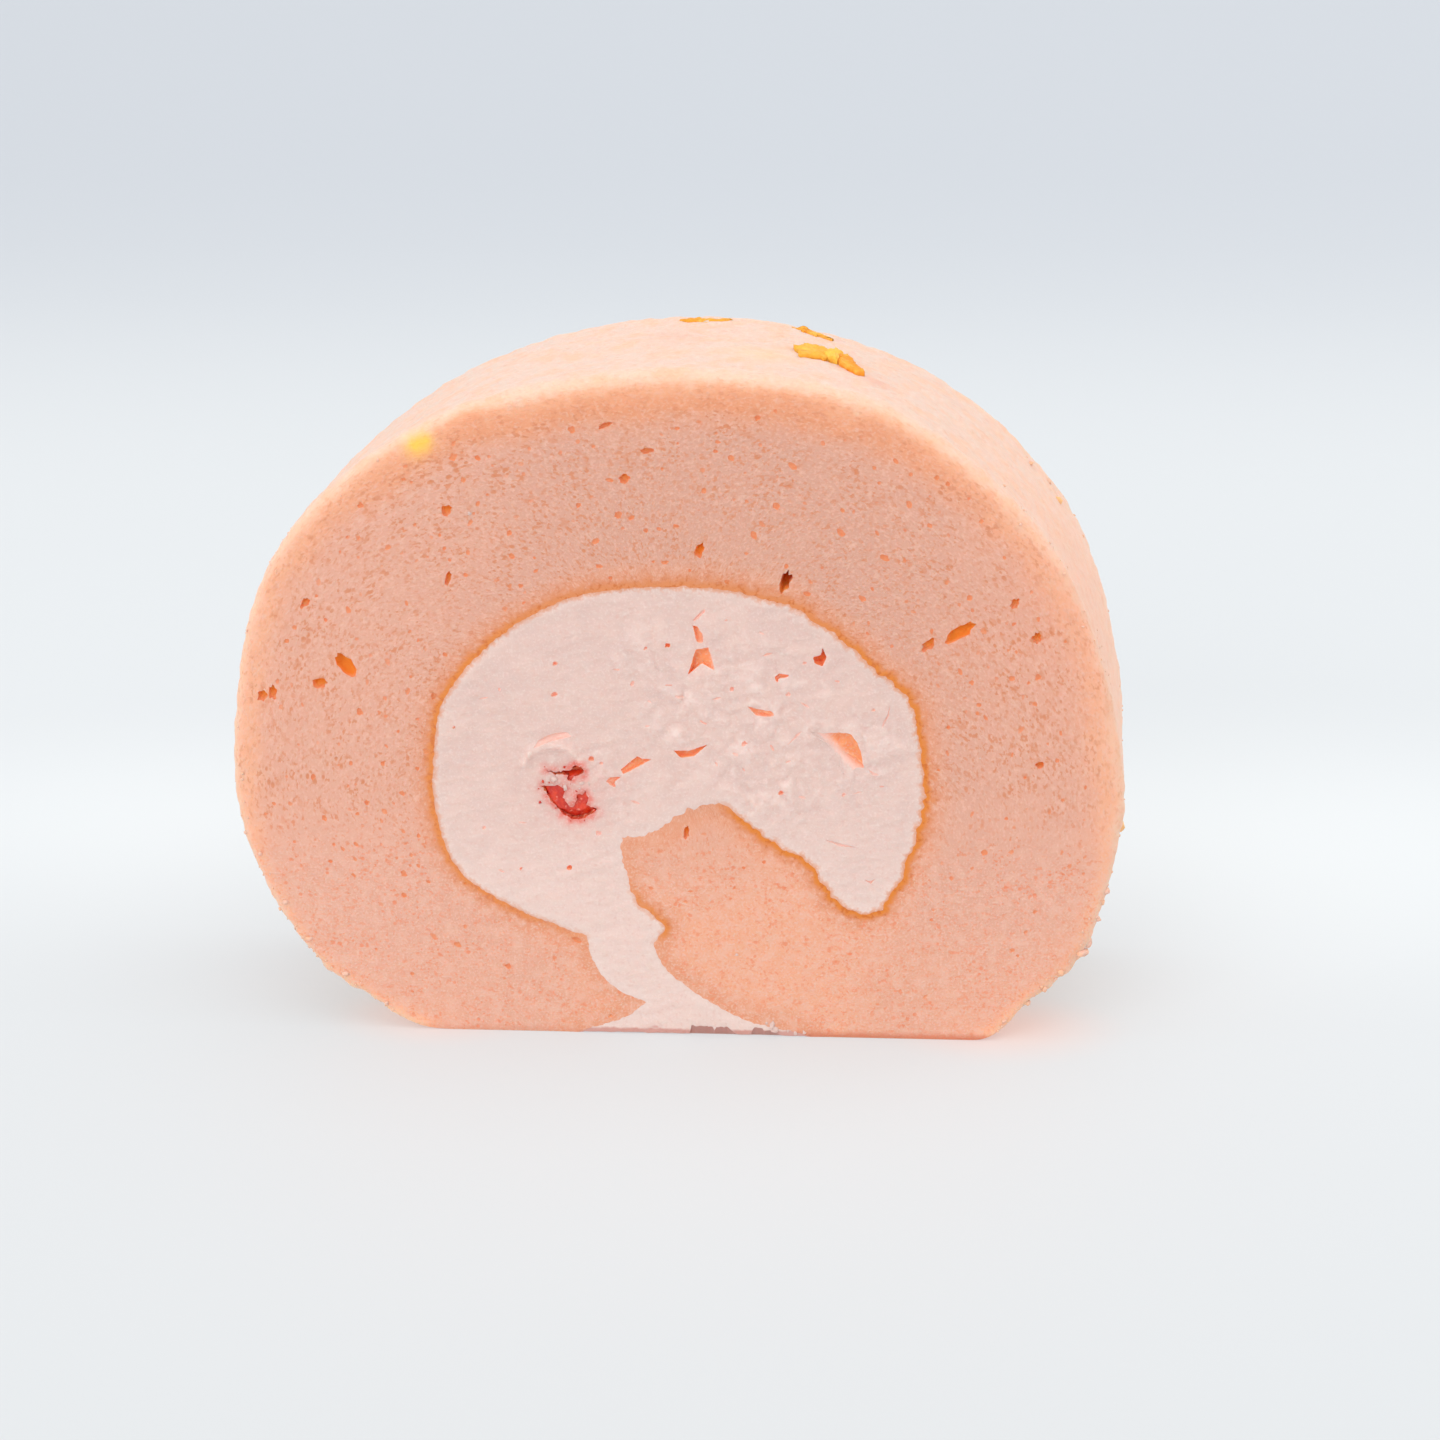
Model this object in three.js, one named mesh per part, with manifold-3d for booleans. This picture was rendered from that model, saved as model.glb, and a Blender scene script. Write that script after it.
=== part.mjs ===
// One slice of a strawberry swiss roll: a thick pink sponge sheet rolled once
// round a whipped cream filling, with a bit of strawberry caught in the cream.
//
// Units are millimetres, +Z is up. The axis of the roll lies along Y, the two
// knife cuts face -Y (front) and +Y (back), and the slice stands on its flat foot.
import * as THREE from 'three';
import { mergeVertices } from 'three/addons/utils/BufferGeometryUtils.js';
import Module from 'manifold-3d';

const wasm = await Module();
wasm.setup();

// ---- driving dimensions ---------------------------------------------------

const DEPTH = 24;          // thickness of the slice, cut to cut
const HEIGHT = 70.5;       // foot to crown
const LEAN = 0.068;        // the roll drifts this far to +X for each mm towards the back
const SOFT_EDGE = 0.8;     // rounding where a cut meets the skin
const FOOT_SPARE = 3;      // the skin outline is drawn this far below the foot, then cut flat
const GAP = 0.3;           // between the sponge, the cream and the fruit
const SKIN_WOBBLE = 0.18;  // dents and swellings of the soft skin
const HALF = DEPTH / 2;

// The far cut stands a little higher left of the crown and lower right of it.
const BACK_SWELL = [
  { at: -4, reach: 15, rise: 0.6 },
  { at: 19, reach: 13, rise: -0.6 },
];

// ---- section of the roll, [across, up], clockwise from the left of the foot ----

const SKIN = [
  [-20, -FOOT_SPARE], [-28.5, 1], [-39, 9.5], [-45, 26.5], [-40.5, 50], [-24, 65.5],
  [-1.5, HEIGHT], [21, 67.5], [38, 52.5], [45, 31], [43, 12.5], [35, 2.5], [29, -FOOT_SPARE],
];

// The filling's outline is four runs that meet at corners: under the lap and up its
// cut end, round the hollow to the tip of the tail, along the inner skin of the
// curled end, over its cut end, and down its outer side to the foot.
const LAP_END = [[-12.5, -1], [-9, 0.5], [-5.4, 1.8], [-3.2, 3.6]];
const CHANNEL_WALL = [[-3.2, 3.6], [-6.8, 5.6], [-8.6, 8.6], [-9.2, 11.1]];
const HOLLOW = [
  [-9.2, 11.1], [-17, 14.4], [-22.3, 18.5], [-24.3, 25], [-24.2, 31], [-22.6, 37.5],
  [-17, 43.8], [-10.3, 47.7], [-2.8, 49], [6, 48.8], [14, 46.2], [20.4, 40.7], [24.1, 36.8],
  [25.4, 28], [24.2, 20.8], [21.8, 15.5], [19.8, 13.9],
];
const CURL_SKIN = [[19.8, 13.9], [16.6, 15.8], [13.4, 20.1], [10.2, 21.9], [5.1, 26.1]];
const CURL_END = [[5.1, 26.1], [1.6, 25.5], [-1.8, 23.2], [-5.2, 22.2]];
const CURL_OUTSIDE = [
  [-5.2, 22.2], [-5.2, 19.3], [-3.6, 14.9], [-1.1, 12.4], [-2.1, 9.9], [0, 6.5], [6.7, 2],
  [13, 0.4], [16, -1],
];

// Open pores at the two cuts: across, up, length, width, and turn in degrees.
const LARGE_PORES = [
  [11.5, 49.8, 2.3, 1.2, 75], [28.7, 44.8, 3.1, 1.5, 38], [-32.8, 40.6, 3, 1.6, -50],
  [-35.4, 38.6, 1.4, 1.2, 0], [-41.4, 37.2, 1.3, 1, 60], [-4.1, 60.2, 1.1, 1, 0],
  [-1.8, 63, 1.3, 0.6, 5], [-5.9, 65.5, 1.5, 0.5, 20], [-21.7, 56.8, 1, 1.2, 0],
  [-36.4, 47.1, 1.3, 0.7, 50], [25.6, 43.4, 1.6, 0.9, 50], [36.3, 44.3, 1.2, 1, 70],
  [37, 30.9, 1, 0.8, 20], [3.1, 53, 1.5, 0.9, 80],
];
const PORE_DEPTH = 1.6;
const PORE_CORNERS = 6;
const SMALL_PORES = { on_each_cut: 30, sizes: [0.7, 1.2], depth: 0.8, corners: 4 };

// Tears and air holes in the cream at the two cuts, with the number of their corners.
const TEARS = [
  { at: [3, 42], size: [2.6, 3], turn: 15, corners: 3, depth: 2.2 },
  { at: [2.7, 45], size: [0.8, 3.4], turn: -12, corners: 4, depth: 1 },
  { at: [14.9, 42], size: [1.5, 1.7], turn: 20, corners: 5, depth: 2.4 },
  { at: [9.5, 36.4], size: [2.6, 0.9], turn: -14, corners: 4, depth: 1.4 },
  { at: [1.9, 31.9], size: [3.4, 1], turn: 14, corners: 4, depth: 1.8 },
  { at: [-4, 30.2], size: [3.2, 1.1], turn: 30, corners: 4, depth: 1.8 },
  { at: [17.2, 32.4], size: [3.6, 3.2], turn: -38, corners: 3, depth: 2.6 },
];

// Flakes of browned skin that lie on the crown: across, from front, length, width, turn.
const FLAKES = [
  { at: [12.8, 1.9], size: [3.8, 1.5], turn: 12 },
  { at: [16.6, -2.1], size: [4.8, 1.7], turn: -48 },
  { at: [14.9, 0.9], size: [1.8, 1.4], turn: 50 },
  { at: [1, 9.4], size: [5.4, 1.8], turn: 6 },
  { at: [11.6, 8.6], size: [3, 1.2], turn: -15 },
];
const FLAKE_THICKNESS = 1;

const STRAWBERRY = { at: [-10.4, 27], size: [6.6, 5.2, 4.6], behind_cut: 1.7, turn: -25 };
const STRAWBERRY_RECESS = 0.35;   // the knife left the fruit this far behind the cut

// How finely curves are drawn.
const STEPS_PER_KNOT = 5;
const LAYERS = 8;
const EDGE_STEPS = 3;

const SPONGE = new THREE.MeshStandardMaterial({ color: 0xefb195, roughness: 0.85, metalness: 0 });
const CREAM = new THREE.MeshStandardMaterial({ color: 0xf0d3c8, roughness: 0.55, metalness: 0 });
const FRUIT = new THREE.MeshStandardMaterial({ color: 0xd2433f, roughness: 0.3, metalness: 0 });

// ---- helpers --------------------------------------------------------------

// Repeatable random numbers from 0 to 1.
function dice(seed) {
  let state = seed >>> 0;
  return () => {
    state = (Math.imul(state, 1664525) + 1013904223) >>> 0;
    return state / 2 ** 32;
  };
}

function solid(geometry) {
  const bare = geometry.clone();
  bare.deleteAttribute('normal');
  bare.deleteAttribute('uv');
  const merged = mergeVertices(bare, 1e-4);
  return new wasm.Manifold(new wasm.Mesh({
    numProp: 3,
    vertProperties: new Float32Array(merged.attributes.position.array),
    triVerts: new Uint32Array(merged.index.array),
  }));
}

function geometryOf(manifold) {
  const mesh = manifold.getMesh();
  const geometry = new THREE.BufferGeometry();
  geometry.setAttribute('position', new THREE.BufferAttribute(mesh.vertProperties, 3));
  geometry.setIndex(new THREE.BufferAttribute(mesh.triVerts, 1));
  return geometry;
}

// Moves every vertex of a geometry by a function of its place.
function bend(geometry, move) {
  const place = geometry.attributes.position;
  const v = new THREE.Vector3();
  for (let i = 0; i < place.count; i++) {
    v.fromBufferAttribute(place, i);
    move(v);
    place.setXYZ(i, v.x, v.y, v.z);
  }
  return geometry;
}

const points = (pairs) => pairs.map(([x, z]) => new THREE.Vector2(x, z));

// A closed shape from smooth runs that join at corners.
function outline(runs) {
  const shape = new THREE.Shape();
  shape.moveTo(...runs[0][0]);
  runs.forEach((run) => shape.splineThru(points(run.slice(1))));
  shape.closePath();
  return shape;
}

// Extrudes a section along Y so that it is centred on the middle of the slice.
function alongRoll(shape, options) {
  const geometry = new THREE.ExtrudeGeometry(shape, { curveSegments: STEPS_PER_KNOT, ...options });
  geometry.rotateX(Math.PI / 2);
  geometry.computeBoundingBox();
  const box = geometry.boundingBox;
  return geometry.translate(0, -(box.min.y + box.max.y) / 2, 0);
}

// ---- outer form of the slice ----------------------------------------------

// Soft dents and swellings of the skin, round the roll and along it.
function wobble(angle, y) {
  const round = Math.sin(5 * angle + 0.7) + 0.7 * Math.sin(11 * angle - 1.9 + 0.09 * y);
  const along = Math.sin(0.31 * y + 3 * angle) + 0.6 * Math.sin(0.53 * y - 7 * angle);
  return SKIN_WOBBLE * (round + along) / 2;
}

function backSwell(x, y) {
  const share = (y + HALF) / DEPTH;
  const bell = (s) => s.rise * Math.exp(-(((x - s.at) / s.reach) ** 2));
  return share * BACK_SWELL.reduce((sum, s) => sum + bell(s), 0);
}

function makeBlock() {
  const geometry = alongRoll(outline([SKIN]), {
    depth: DEPTH - 2 * SOFT_EDGE, steps: LAYERS, bevelEnabled: true, bevelSegments: EDGE_STEPS,
    bevelThickness: SOFT_EDGE, bevelSize: SOFT_EDGE, bevelOffset: -SOFT_EDGE,
  });
  bend(geometry, (v) => {
    const up = THREE.MathUtils.smoothstep(v.z, 0, HEIGHT / 3);
    const angle = Math.atan2(v.z - HEIGHT / 2, v.x);
    const out = wobble(angle, v.y) * up;
    v.z += backSwell(v.x, v.y) * THREE.MathUtils.smoothstep(v.z, HEIGHT / 2, HEIGHT);
    v.x += out * Math.cos(angle);
    v.z += out * Math.sin(angle);
  });
  const floor = new THREE.BoxGeometry(3 * HEIGHT, 3 * DEPTH, HEIGHT).translate(0, 0, -HEIGHT / 2);
  return solid(geometry).subtract(solid(floor));
}

// ---- filling --------------------------------------------------------------

// Moves the points of a clockwise outline inwards by `inset`, square to its edges.
function drawnIn(loop, inset) {
  const across = (a, b) => new THREE.Vector2(b.y - a.y, a.x - b.x).normalize();
  return loop.map((p, i) => {
    const before = across(loop[(i + loop.length - 1) % loop.length], p);
    const after = across(p, loop[(i + 1) % loop.length]);
    const mitre = before.clone().add(after).divideScalar(1 + before.dot(after));
    return mitre.multiplyScalar(inset).add(p);
  });
}

// The void that the cream fills, drawn in by `inset` all round.
function makeVoid(inset) {
  const runs = outline([LAP_END, CHANNEL_WALL, HOLLOW, CURL_SKIN, CURL_END, CURL_OUTSIDE]);
  const loop = runs.getPoints(STEPS_PER_KNOT).slice(0, -1);
  const shape = new THREE.Shape(drawnIn(loop, inset));
  return solid(alongRoll(shape, { depth: DEPTH + 2, steps: 1, bevelEnabled: false }));
}

// ---- pores and tears in the two cuts ---------------------------------------

// A faceted pit that narrows with depth, sunk into the cut on the given side.
function makePit(side, { at: [x, z], size: [length, width], turn, corners, depth }, twist) {
  const proud = 0.5;
  const bottom = 0.45;
  const raggedness = 0.25;
  const cone = new THREE.CylinderGeometry(1, bottom, 1, corners, 1);
  bend(cone, (v) => {
    const edge = 1 + raggedness * Math.sin(3 * Math.atan2(v.z, v.x) + v.y + twist);
    v.x *= edge;
    v.z *= edge;
  });
  cone.scale(length / 2, depth + proud, width / 2);
  cone.translate(0, (proud - depth) / 2, 0);
  cone.rotateY(THREE.MathUtils.degToRad(-side * turn));
  if (side < 0) cone.rotateX(Math.PI);
  return solid(cone.translate(x, side * HALF, z));
}

function largePores() {
  return LARGE_PORES.map(([x, z, length, width, turn]) => (
    { at: [x, z], size: [length, width], turn, corners: PORE_CORNERS, depth: PORE_DEPTH }));
}

// Smaller pores scattered through the sheet between the hollow and the skin.
function smallPores(random) {
  const { on_each_cut, sizes: [least, most], depth, corners } = SMALL_PORES;
  const [inner, outer] = [HOLLOW, SKIN].map((run) => new THREE.SplineCurve(points(run)));
  return Array.from({ length: on_each_cut }, (_, i) => {
    const round = 0.12 + 0.74 * (i + random()) / on_each_cut;
    const place = inner.getPoint(round).lerp(outer.getPoint(round), 0.12 + 0.72 * random());
    const length = least + (most - least) * random();
    return { at: [place.x, place.y], size: [length, 0.7 * length], turn: 180 * random(), corners, depth };
  });
}

const CUTS = [-1, 1];   // front, back

function withPits(body, pitsOfCut, seed) {
  const random = dice(seed);
  CUTS.forEach((side) => pitsOfCut(random).forEach((pit) => {
    body = body.subtract(makePit(side, pit, 2 * Math.PI * random()));
  }));
  return body;
}

// ---- toppings and fruit ----------------------------------------------------

// Height of the crown over a place, from the skin's own curve.
const SKIN_LINE = new THREE.SplineCurve(points(SKIN)).getPoints(200);

function crownHeight(x) {
  const right = SKIN_LINE.findIndex((p) => p.y > HEIGHT / 2 && p.x >= x);
  const [a, b] = [SKIN_LINE[right - 1], SKIN_LINE[right]];
  return a.y + (b.y - a.y) * (x - a.x) / (b.x - a.x);
}

function makeFlake({ at: [x, y], size: [length, width], turn }, random) {
  const flake = new THREE.IcosahedronGeometry(1, 1);
  const ragged = random();
  bend(flake, (v) => {
    const edge = 1 + 0.22 * Math.sin(4 * Math.atan2(v.y, v.x) + 6 * ragged);
    v.set(v.x * edge * length / 2, v.y * edge * width / 2, v.z * FLAKE_THICKNESS / 2);
  });
  flake.rotateZ(THREE.MathUtils.degToRad(turn));
  const slope = (crownHeight(x + 1) - crownHeight(x - 1)) / 2;
  flake.rotateY(-Math.atan(slope));
  return solid(flake.translate(x, y, crownHeight(x) + backSwell(x, y) + 0.15 * FLAKE_THICKNESS));
}

function withFlakes(body) {
  const random = dice(3);
  FLAKES.forEach((flake) => {
    body = body.add(makeFlake(flake, random));
  });
  return body;
}

// The bit of strawberry, `grown` all round to make its pocket in the cream.
function makeStrawberry(grown) {
  const { at: [x, z], size: [length, deep, tall], behind_cut: behind, turn } = STRAWBERRY;
  const fruit = new THREE.IcosahedronGeometry(1, 3);
  bend(fruit, (v) => {
    const lump = 1 + 0.08 * Math.sin(4 * v.x + 1) * Math.cos(3 * v.z) + 0.05 * Math.sin(5 * v.y);
    v.set(
      v.x * (lump * length / 2 + grown),
      v.y * (lump * deep / 2 + grown),
      v.z * (lump * tall / 2 + grown),
    );
  });
  fruit.rotateY(THREE.MathUtils.degToRad(-turn));
  return solid(fruit.translate(x, behind - HALF, z));
}

function inFrontOf(y) {
  const box = new THREE.BoxGeometry(3 * HEIGHT, DEPTH, 3 * HEIGHT);
  return solid(box.translate(0, y - HALF, 0));
}

// ---- the slice -------------------------------------------------------------

const block = makeBlock();
const sheet = block.subtract(makeVoid(0));
const sponge = withFlakes(withPits(sheet, (random) => [...largePores(), ...smallPores(random)], 7));
const cream = withPits(block.intersect(makeVoid(GAP)), () => TEARS, 11).subtract(makeStrawberry(GAP));
const strawberry = makeStrawberry(0).subtract(inFrontOf(STRAWBERRY_RECESS - HALF));

function named(name, manifold, material) {
  const geometry = bend(geometryOf(manifold), (v) => {
    v.x += LEAN * v.y;
  });
  const mesh = new THREE.Mesh(geometry, material);
  mesh.name = name;
  return mesh;
}

const group = new THREE.Group();
group.add(
  named('sponge', sponge, SPONGE),
  named('cream', cream, CREAM),
  named('strawberry_piece', strawberry, FRUIT),
);

// The origin is under the middle of the slice.
const box = new THREE.Box3().setFromObject(group);
const middle = box.getCenter(new THREE.Vector3());
group.position.set(-middle.x, -middle.y, -box.min.z);

export default group;
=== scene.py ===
"""Looks of one slice of strawberry swiss roll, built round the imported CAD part.

The cake's sizes are in millimetres and become metres in place(). The stage's are in metres,
where nothing else is said.
The section of the roll is a flat drawing of [across, up] points; the roll's axis lies along Y,
with the front cut at -Y. Outlines run clockwise, as seen from the front.
"""
import itertools
import math

import bmesh
import bpy
import numpy as np
from mathutils import Matrix, Vector
from mathutils.geometry import delaunay_2d_cdt
from mathutils.kdtree import KDTree


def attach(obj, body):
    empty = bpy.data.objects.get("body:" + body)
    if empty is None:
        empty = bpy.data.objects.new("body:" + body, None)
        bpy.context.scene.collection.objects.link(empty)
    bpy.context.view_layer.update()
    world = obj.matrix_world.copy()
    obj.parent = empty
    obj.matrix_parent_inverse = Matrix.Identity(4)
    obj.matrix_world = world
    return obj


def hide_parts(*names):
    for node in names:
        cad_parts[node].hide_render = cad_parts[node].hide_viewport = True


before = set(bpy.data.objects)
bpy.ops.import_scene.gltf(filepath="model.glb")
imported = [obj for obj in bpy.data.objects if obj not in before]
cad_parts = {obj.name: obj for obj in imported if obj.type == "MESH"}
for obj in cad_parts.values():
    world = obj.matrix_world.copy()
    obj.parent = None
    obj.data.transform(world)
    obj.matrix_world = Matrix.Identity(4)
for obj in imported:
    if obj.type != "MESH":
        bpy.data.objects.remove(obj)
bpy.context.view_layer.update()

# ---- driving dimensions, as in the CAD part ----

MM = 0.001
DEPTH = 24.0
HALF = DEPTH / 2
HEIGHT = 70.5
LEAN = 0.068            # the roll drifts this far to +X for each mm towards the back
CENTRE_SHIFT = -0.144   # puts the middle of the leaning slice over the origin
SOFT_EDGE = 1.0         # rounding where a cut meets the skin
FOOT_EDGE = 0.08        # rounding where a cut meets the foot
FOOT_EASE = 1.4         # the skin turns into the foot over this height, up and down
SKIN_WOBBLE = 0.18
BACK_SWELL = ((-4, 15, 0.6), (19, 13, -0.6))   # across, reach, rise at the far cut

SKIN = [
    [-20, -3], [-28.5, 1], [-39, 9.5], [-45, 26.5], [-40.5, 50], [-24, 65.5], [-1.5, HEIGHT],
    [21, 67.5], [38, 52.5], [45, 31], [43, 12.5], [35, 2.5], [29, -3],
]
LAP_END = [[-12.5, -1], [-9, 0.5], [-5.4, 1.8], [-3.2, 3.6]]
CHANNEL_WALL = [[-3.2, 3.6], [-6.8, 5.6], [-8.6, 8.6], [-9.2, 11.1]]
HOLLOW = [
    [-9.2, 11.1], [-17, 14.4], [-22.3, 18.5], [-24.3, 25], [-24.2, 31], [-22.6, 37.5],
    [-17, 43.8], [-10.3, 47.7], [-2.8, 49], [6, 48.8], [14, 46.2], [20.4, 40.7], [24.1, 36.8],
    [25.4, 28], [24.2, 20.8], [21.8, 15.5], [19.8, 13.9],
]
CURL_SKIN = [[19.8, 13.9], [16.6, 15.8], [13.4, 20.1], [10.2, 21.9], [5.1, 26.1]]
CURL_END = [[5.1, 26.1], [1.6, 25.5], [-1.8, 23.2], [-5.2, 22.2]]
CURL_OUTSIDE = [
    [-5.2, 22.2], [-5.2, 19.3], [-3.6, 14.9], [-1.1, 12.4], [-2.1, 9.9], [0, 6.5], [6.7, 2],
    [13, 0.4], [16, -1],
]
# How browned the sheet's surface is along each run: [share of the run, amount] pairs.
WALL_RUNS = [
    (LAP_END, [(0, 0), (1, 0)]),
    (CHANNEL_WALL, [(0, 0), (0.7, 0), (1, 0.3)]),
    (HOLLOW, [(0, 0.3), (0.06, 0.75), (0.3, 0.9), (1, 1)]),
    (CURL_SKIN, [(0, 1), (0.9, 1), (1, 0.5)]),
    (CURL_END, [(0, 0.5), (0.1, 0), (1, 0)]),
    (CURL_OUTSIDE, [(0, 0), (0.12, 0.1), (0.2, 0.7), (0.33, 0.9), (0.38, 0.1), (1, 0)]),
]
CURL_MIDDLE = (8, 12)
CURL_REACH = 14
ROUGH_WALL = (95, 165)   # the wall is most ragged between these lengths along it

# Large pores at the two cuts: across, up, length, width, turn in degrees, depth.
LARGE_PORES = [
    [11.5, 49.8, 2.3, 1.1, 75, 1.35], [28.7, 44.8, 3.1, 1.4, 38, 0.6],
    [1.4, 22.9, 1.5, 0.6, 80, 0.4],
    [-32.8, 40.6, 3, 1.6, -50, 0.7], [-35.4, 38.6, 1.4, 1.2, 0, 0.45],
    [-41.4, 37.2, 1.3, 1, 60, 0.4], [-40.3, 37.5, 0.8, 1.5, 0, 0.4], [-4.1, 60.2, 1.1, 1, 0, 0.35],
    [-1.8, 63, 1.3, 0.6, 5, 0.3], [-5.9, 65.5, 1.5, 0.5, 20, 0.3], [-21.7, 56.8, 1, 1.2, 0, 0.4],
    [-36.4, 47.1, 1.3, 0.7, 50, 0.35], [25.6, 43.4, 1.6, 0.9, 50, 0.4],
    [36.3, 44.3, 1.2, 1, 70, 0.4], [37, 30.9, 1, 0.8, 20, 0.4], [3.1, 53, 1.5, 0.9, 80, 0.5],
    [-21.9, 49.8, 1.5, 0.6, 70, 0.4], [34, 47.8, 1.2, 0.8, 60, 0.35],
]

# Tears in the cream: outline, depth and, where the floor falls one way, its fall per reach.
TEARS = [
    ([[2.6, 42.7], [3.9, 42.9], [4.5, 40.5], [3.2, 41.2], [1.8, 40]], 0.55, (-0.7, 0)),
    ([[2.3, 45.2], [2.8, 45.1], [3.4, 44.1], [3.3, 43.3], [2.7, 43.4]], 0.35, (-0.6, 0)),
    ([[2.3, 45.7], [3.5, 47], [3.6, 46.6], [2.6, 45.6]], 0.15),
    ([[15.2, 43], [15.6, 42], [15.2, 41], [14.4, 41.4], [14.2, 42], [15, 42.2]], 1.0),
    ([[10.9, 40.3], [11.9, 40.2], [11.8, 39.9], [10.9, 39.8], [10.7, 39.3], [10.4, 39.9]], 0.35),
    ([[7.7, 36.8], [8.9, 36.4], [10.2, 36.2], [10.5, 35.9], [9.9, 35.6], [8.5, 35.8]], 0.35),
    ([[0.2, 31.9], [1.8, 31.9], [3.7, 32.6], [2.3, 31.3], [0.9, 31.1]], 0.6),
    ([[13.8, 34.2], [15.4, 34], [16.8, 34.1], [18.1, 34], [18.7, 33.1], [19.1, 31.9],
      [19.4, 30.3], [18.6, 30.3], [17.9, 29.7], [17.3, 29.6], [16.9, 30.5], [16.1, 31.1],
      [16.1, 32.3], [15.4, 32.9], [14.4, 33.7]], 0.2, (5, 4.5)),
    ([[-5.2, 29.7], [-3.5, 31.2], [-3, 30.9], [-2, 30.9], [-3.8, 29.8], [-4.9, 29.2]], 0.45),
    ([[-6.7, 28.4], [-6.3, 28.9], [-5.1, 28.9], [-5.8, 28.4], [-5.7, 27.7], [-6.1, 27.8]], 0.3),
    ([[21.9, 37], [21.7, 36], [21.3, 35.3], [21.1, 34.4], [21.5, 35.2], [21.9, 36]], 0.1),
    ([[13.2, 34.2], [12.6, 33.8], [11.7, 32.7], [12.6, 33.4]], 0.1),
    ([[19.8, 30.2], [20.4, 29.9], [21.1, 29.5], [20.3, 29.5]], 0.1),
    ([[15.5, 22.4], [17, 22.1], [18.9, 21.6], [17.2, 21.7]], 0.1),
    ([[19.6, 18], [20.2, 17.9], [20.7, 18.2], [20.2, 17.5]], 0.15),
    ([[-13.9, 32], [-13.5, 32.7], [-12.8, 33.2], [-11.7, 33.6], [-10.5, 33.7], [-10, 33.3],
      [-11, 33], [-12, 32.8], [-12.9, 32.4]], 0.14),
]
# Small holes in the cream: across, up, width, depth.
CREAM_HOLES = [
    [-0.2, 43.1, 0.6, 0.4], [-2.4, 42.8, 0.45, 0.2], [-8.1, 30.9, 0.7, 0.3],
    [-10.7, 18.8, 0.7, 0.4], [-7.6, 22.7, 0.7, 0.15], [-15.7, 18.6, 0.4, 0.2],
    [6.2, 38.6, 0.6, 0.2], [7.4, 32.8, 0.7, 0.2], [11.1, 27.5, 0.6, 0.3],
    [17.4, 27.4, 0.5, 0.15], [11.8, 38.1, 0.6, 0.15], [-11.5, 41, 0.6, 0.25],
    [-11.7, 37.7, 0.7, 0.25], [-3.8, 39, 0.6, 0.15], [-7.1, 30.4, 0.5, 0.15],
    [-19.4, 23.1, 0.5, 0.15], [-22, 34, 0.35, 0.2], [13.4, 41.4, 0.5, 0.15],
    [20.3, 36.5, 0.45, 0.15], [-17.2, 38.2, 0.4, 0.1],
]
# Where the cream has torn away over the bit of strawberry.
FRUIT_WINDOWS = [
    [[-13.3, 27.8], [-12.3, 27.9], [-11.6, 27.9], [-10.9, 27.4], [-11.2, 26.7], [-10.7, 25.9],
     [-10.2, 25.5], [-9.8, 26], [-9.6, 27], [-9.1, 26.9], [-8.8, 27.3], [-8.5, 26.7],
     [-8.8, 25.9], [-7.6, 25.4], [-8.4, 24.8], [-9, 24.3], [-10.2, 24.2], [-11.1, 24.6],
     [-11.7, 25.4], [-12.3, 26.2], [-12.7, 26.9]],
    [[-12.8, 29.6], [-12.1, 29.4], [-11.2, 29.4], [-10.7, 29.6], [-10.2, 29.5], [-10, 30],
     [-9.1, 30.1], [-8.9, 29.7], [-9.1, 29.2], [-9.9, 28.9], [-10.3, 28.4], [-10.6, 28.6],
     [-10.5, 29.1], [-12, 29.1]],
]
STRAWBERRY = {"at": (-10.4, 27), "size": (6.6, 5.2, 4.6), "behind": 1.7, "turn": -25}

# Flakes of browned skin on the crown: how dark each is, its thickness, and its outline, across
# and along.
FLAKES = [
    (0.5, 0.5, [[10.9, 1.6], [12.3, 3.2], [13.4, 3.6], [14.6, 2.4], [14.3, -0.6], [13.1, -1],
                [11.8, -1.8], [11.4, -0.2]]),
    (0, 0.85, [[14, 0.2], [14.4, 2.2], [14.9, 3.4], [15.7, 3], [15.5, 0.6], [15.6, -1.4]]),
    (1, 0.8, [[15.3, 1.4], [16.2, 1.8], [17.1, 0.2], [17.5, -1.6], [18.5, -3.4], [17.6, -3.8],
              [17, -3.2], [15.7, -1.6]]),
    (0.8, 0.4, [[-1.7, 9.1], [-0.6, 9.5], [0.3, 10], [1.1, 9.4], [1.9, 9.6], [3.8, 9.3],
                 [2.4, 8.5], [0.7, 8.1], [-0.9, 8.5]]),
    (0.9, 0.4, [[9.9, 9.5], [11.1, 9.9], [12, 9.1], [13, 8.8], [14.2, 7.6], [12.4, 8],
                 [11.1, 8.5]]),
]

# ---- smooth random fields ----

LATTICE = np.random.default_rng(5).uniform(-1, 1, (8192, 3))
TILT = np.linalg.qr(np.random.default_rng(3).normal(size=(3, 3)))[0]
NOISE_GAIN = 1.7
HASH_PRIMES = np.array([73856093, 19349663, 83492791])
HASH_SEED = 40503
HASH_SPREAD = 1274126177


def lattice_slope(cell, seed):
    """The random slope that belongs to each cell."""
    h = np.bitwise_xor.reduce(cell * HASH_PRIMES, axis=-1) ^ seed * HASH_SEED
    h ^= h >> 13
    h = h * HASH_SPREAD & 0x7FFFFFFF
    return LATTICE[(h ^ h >> 15) % len(LATTICE)]


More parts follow.
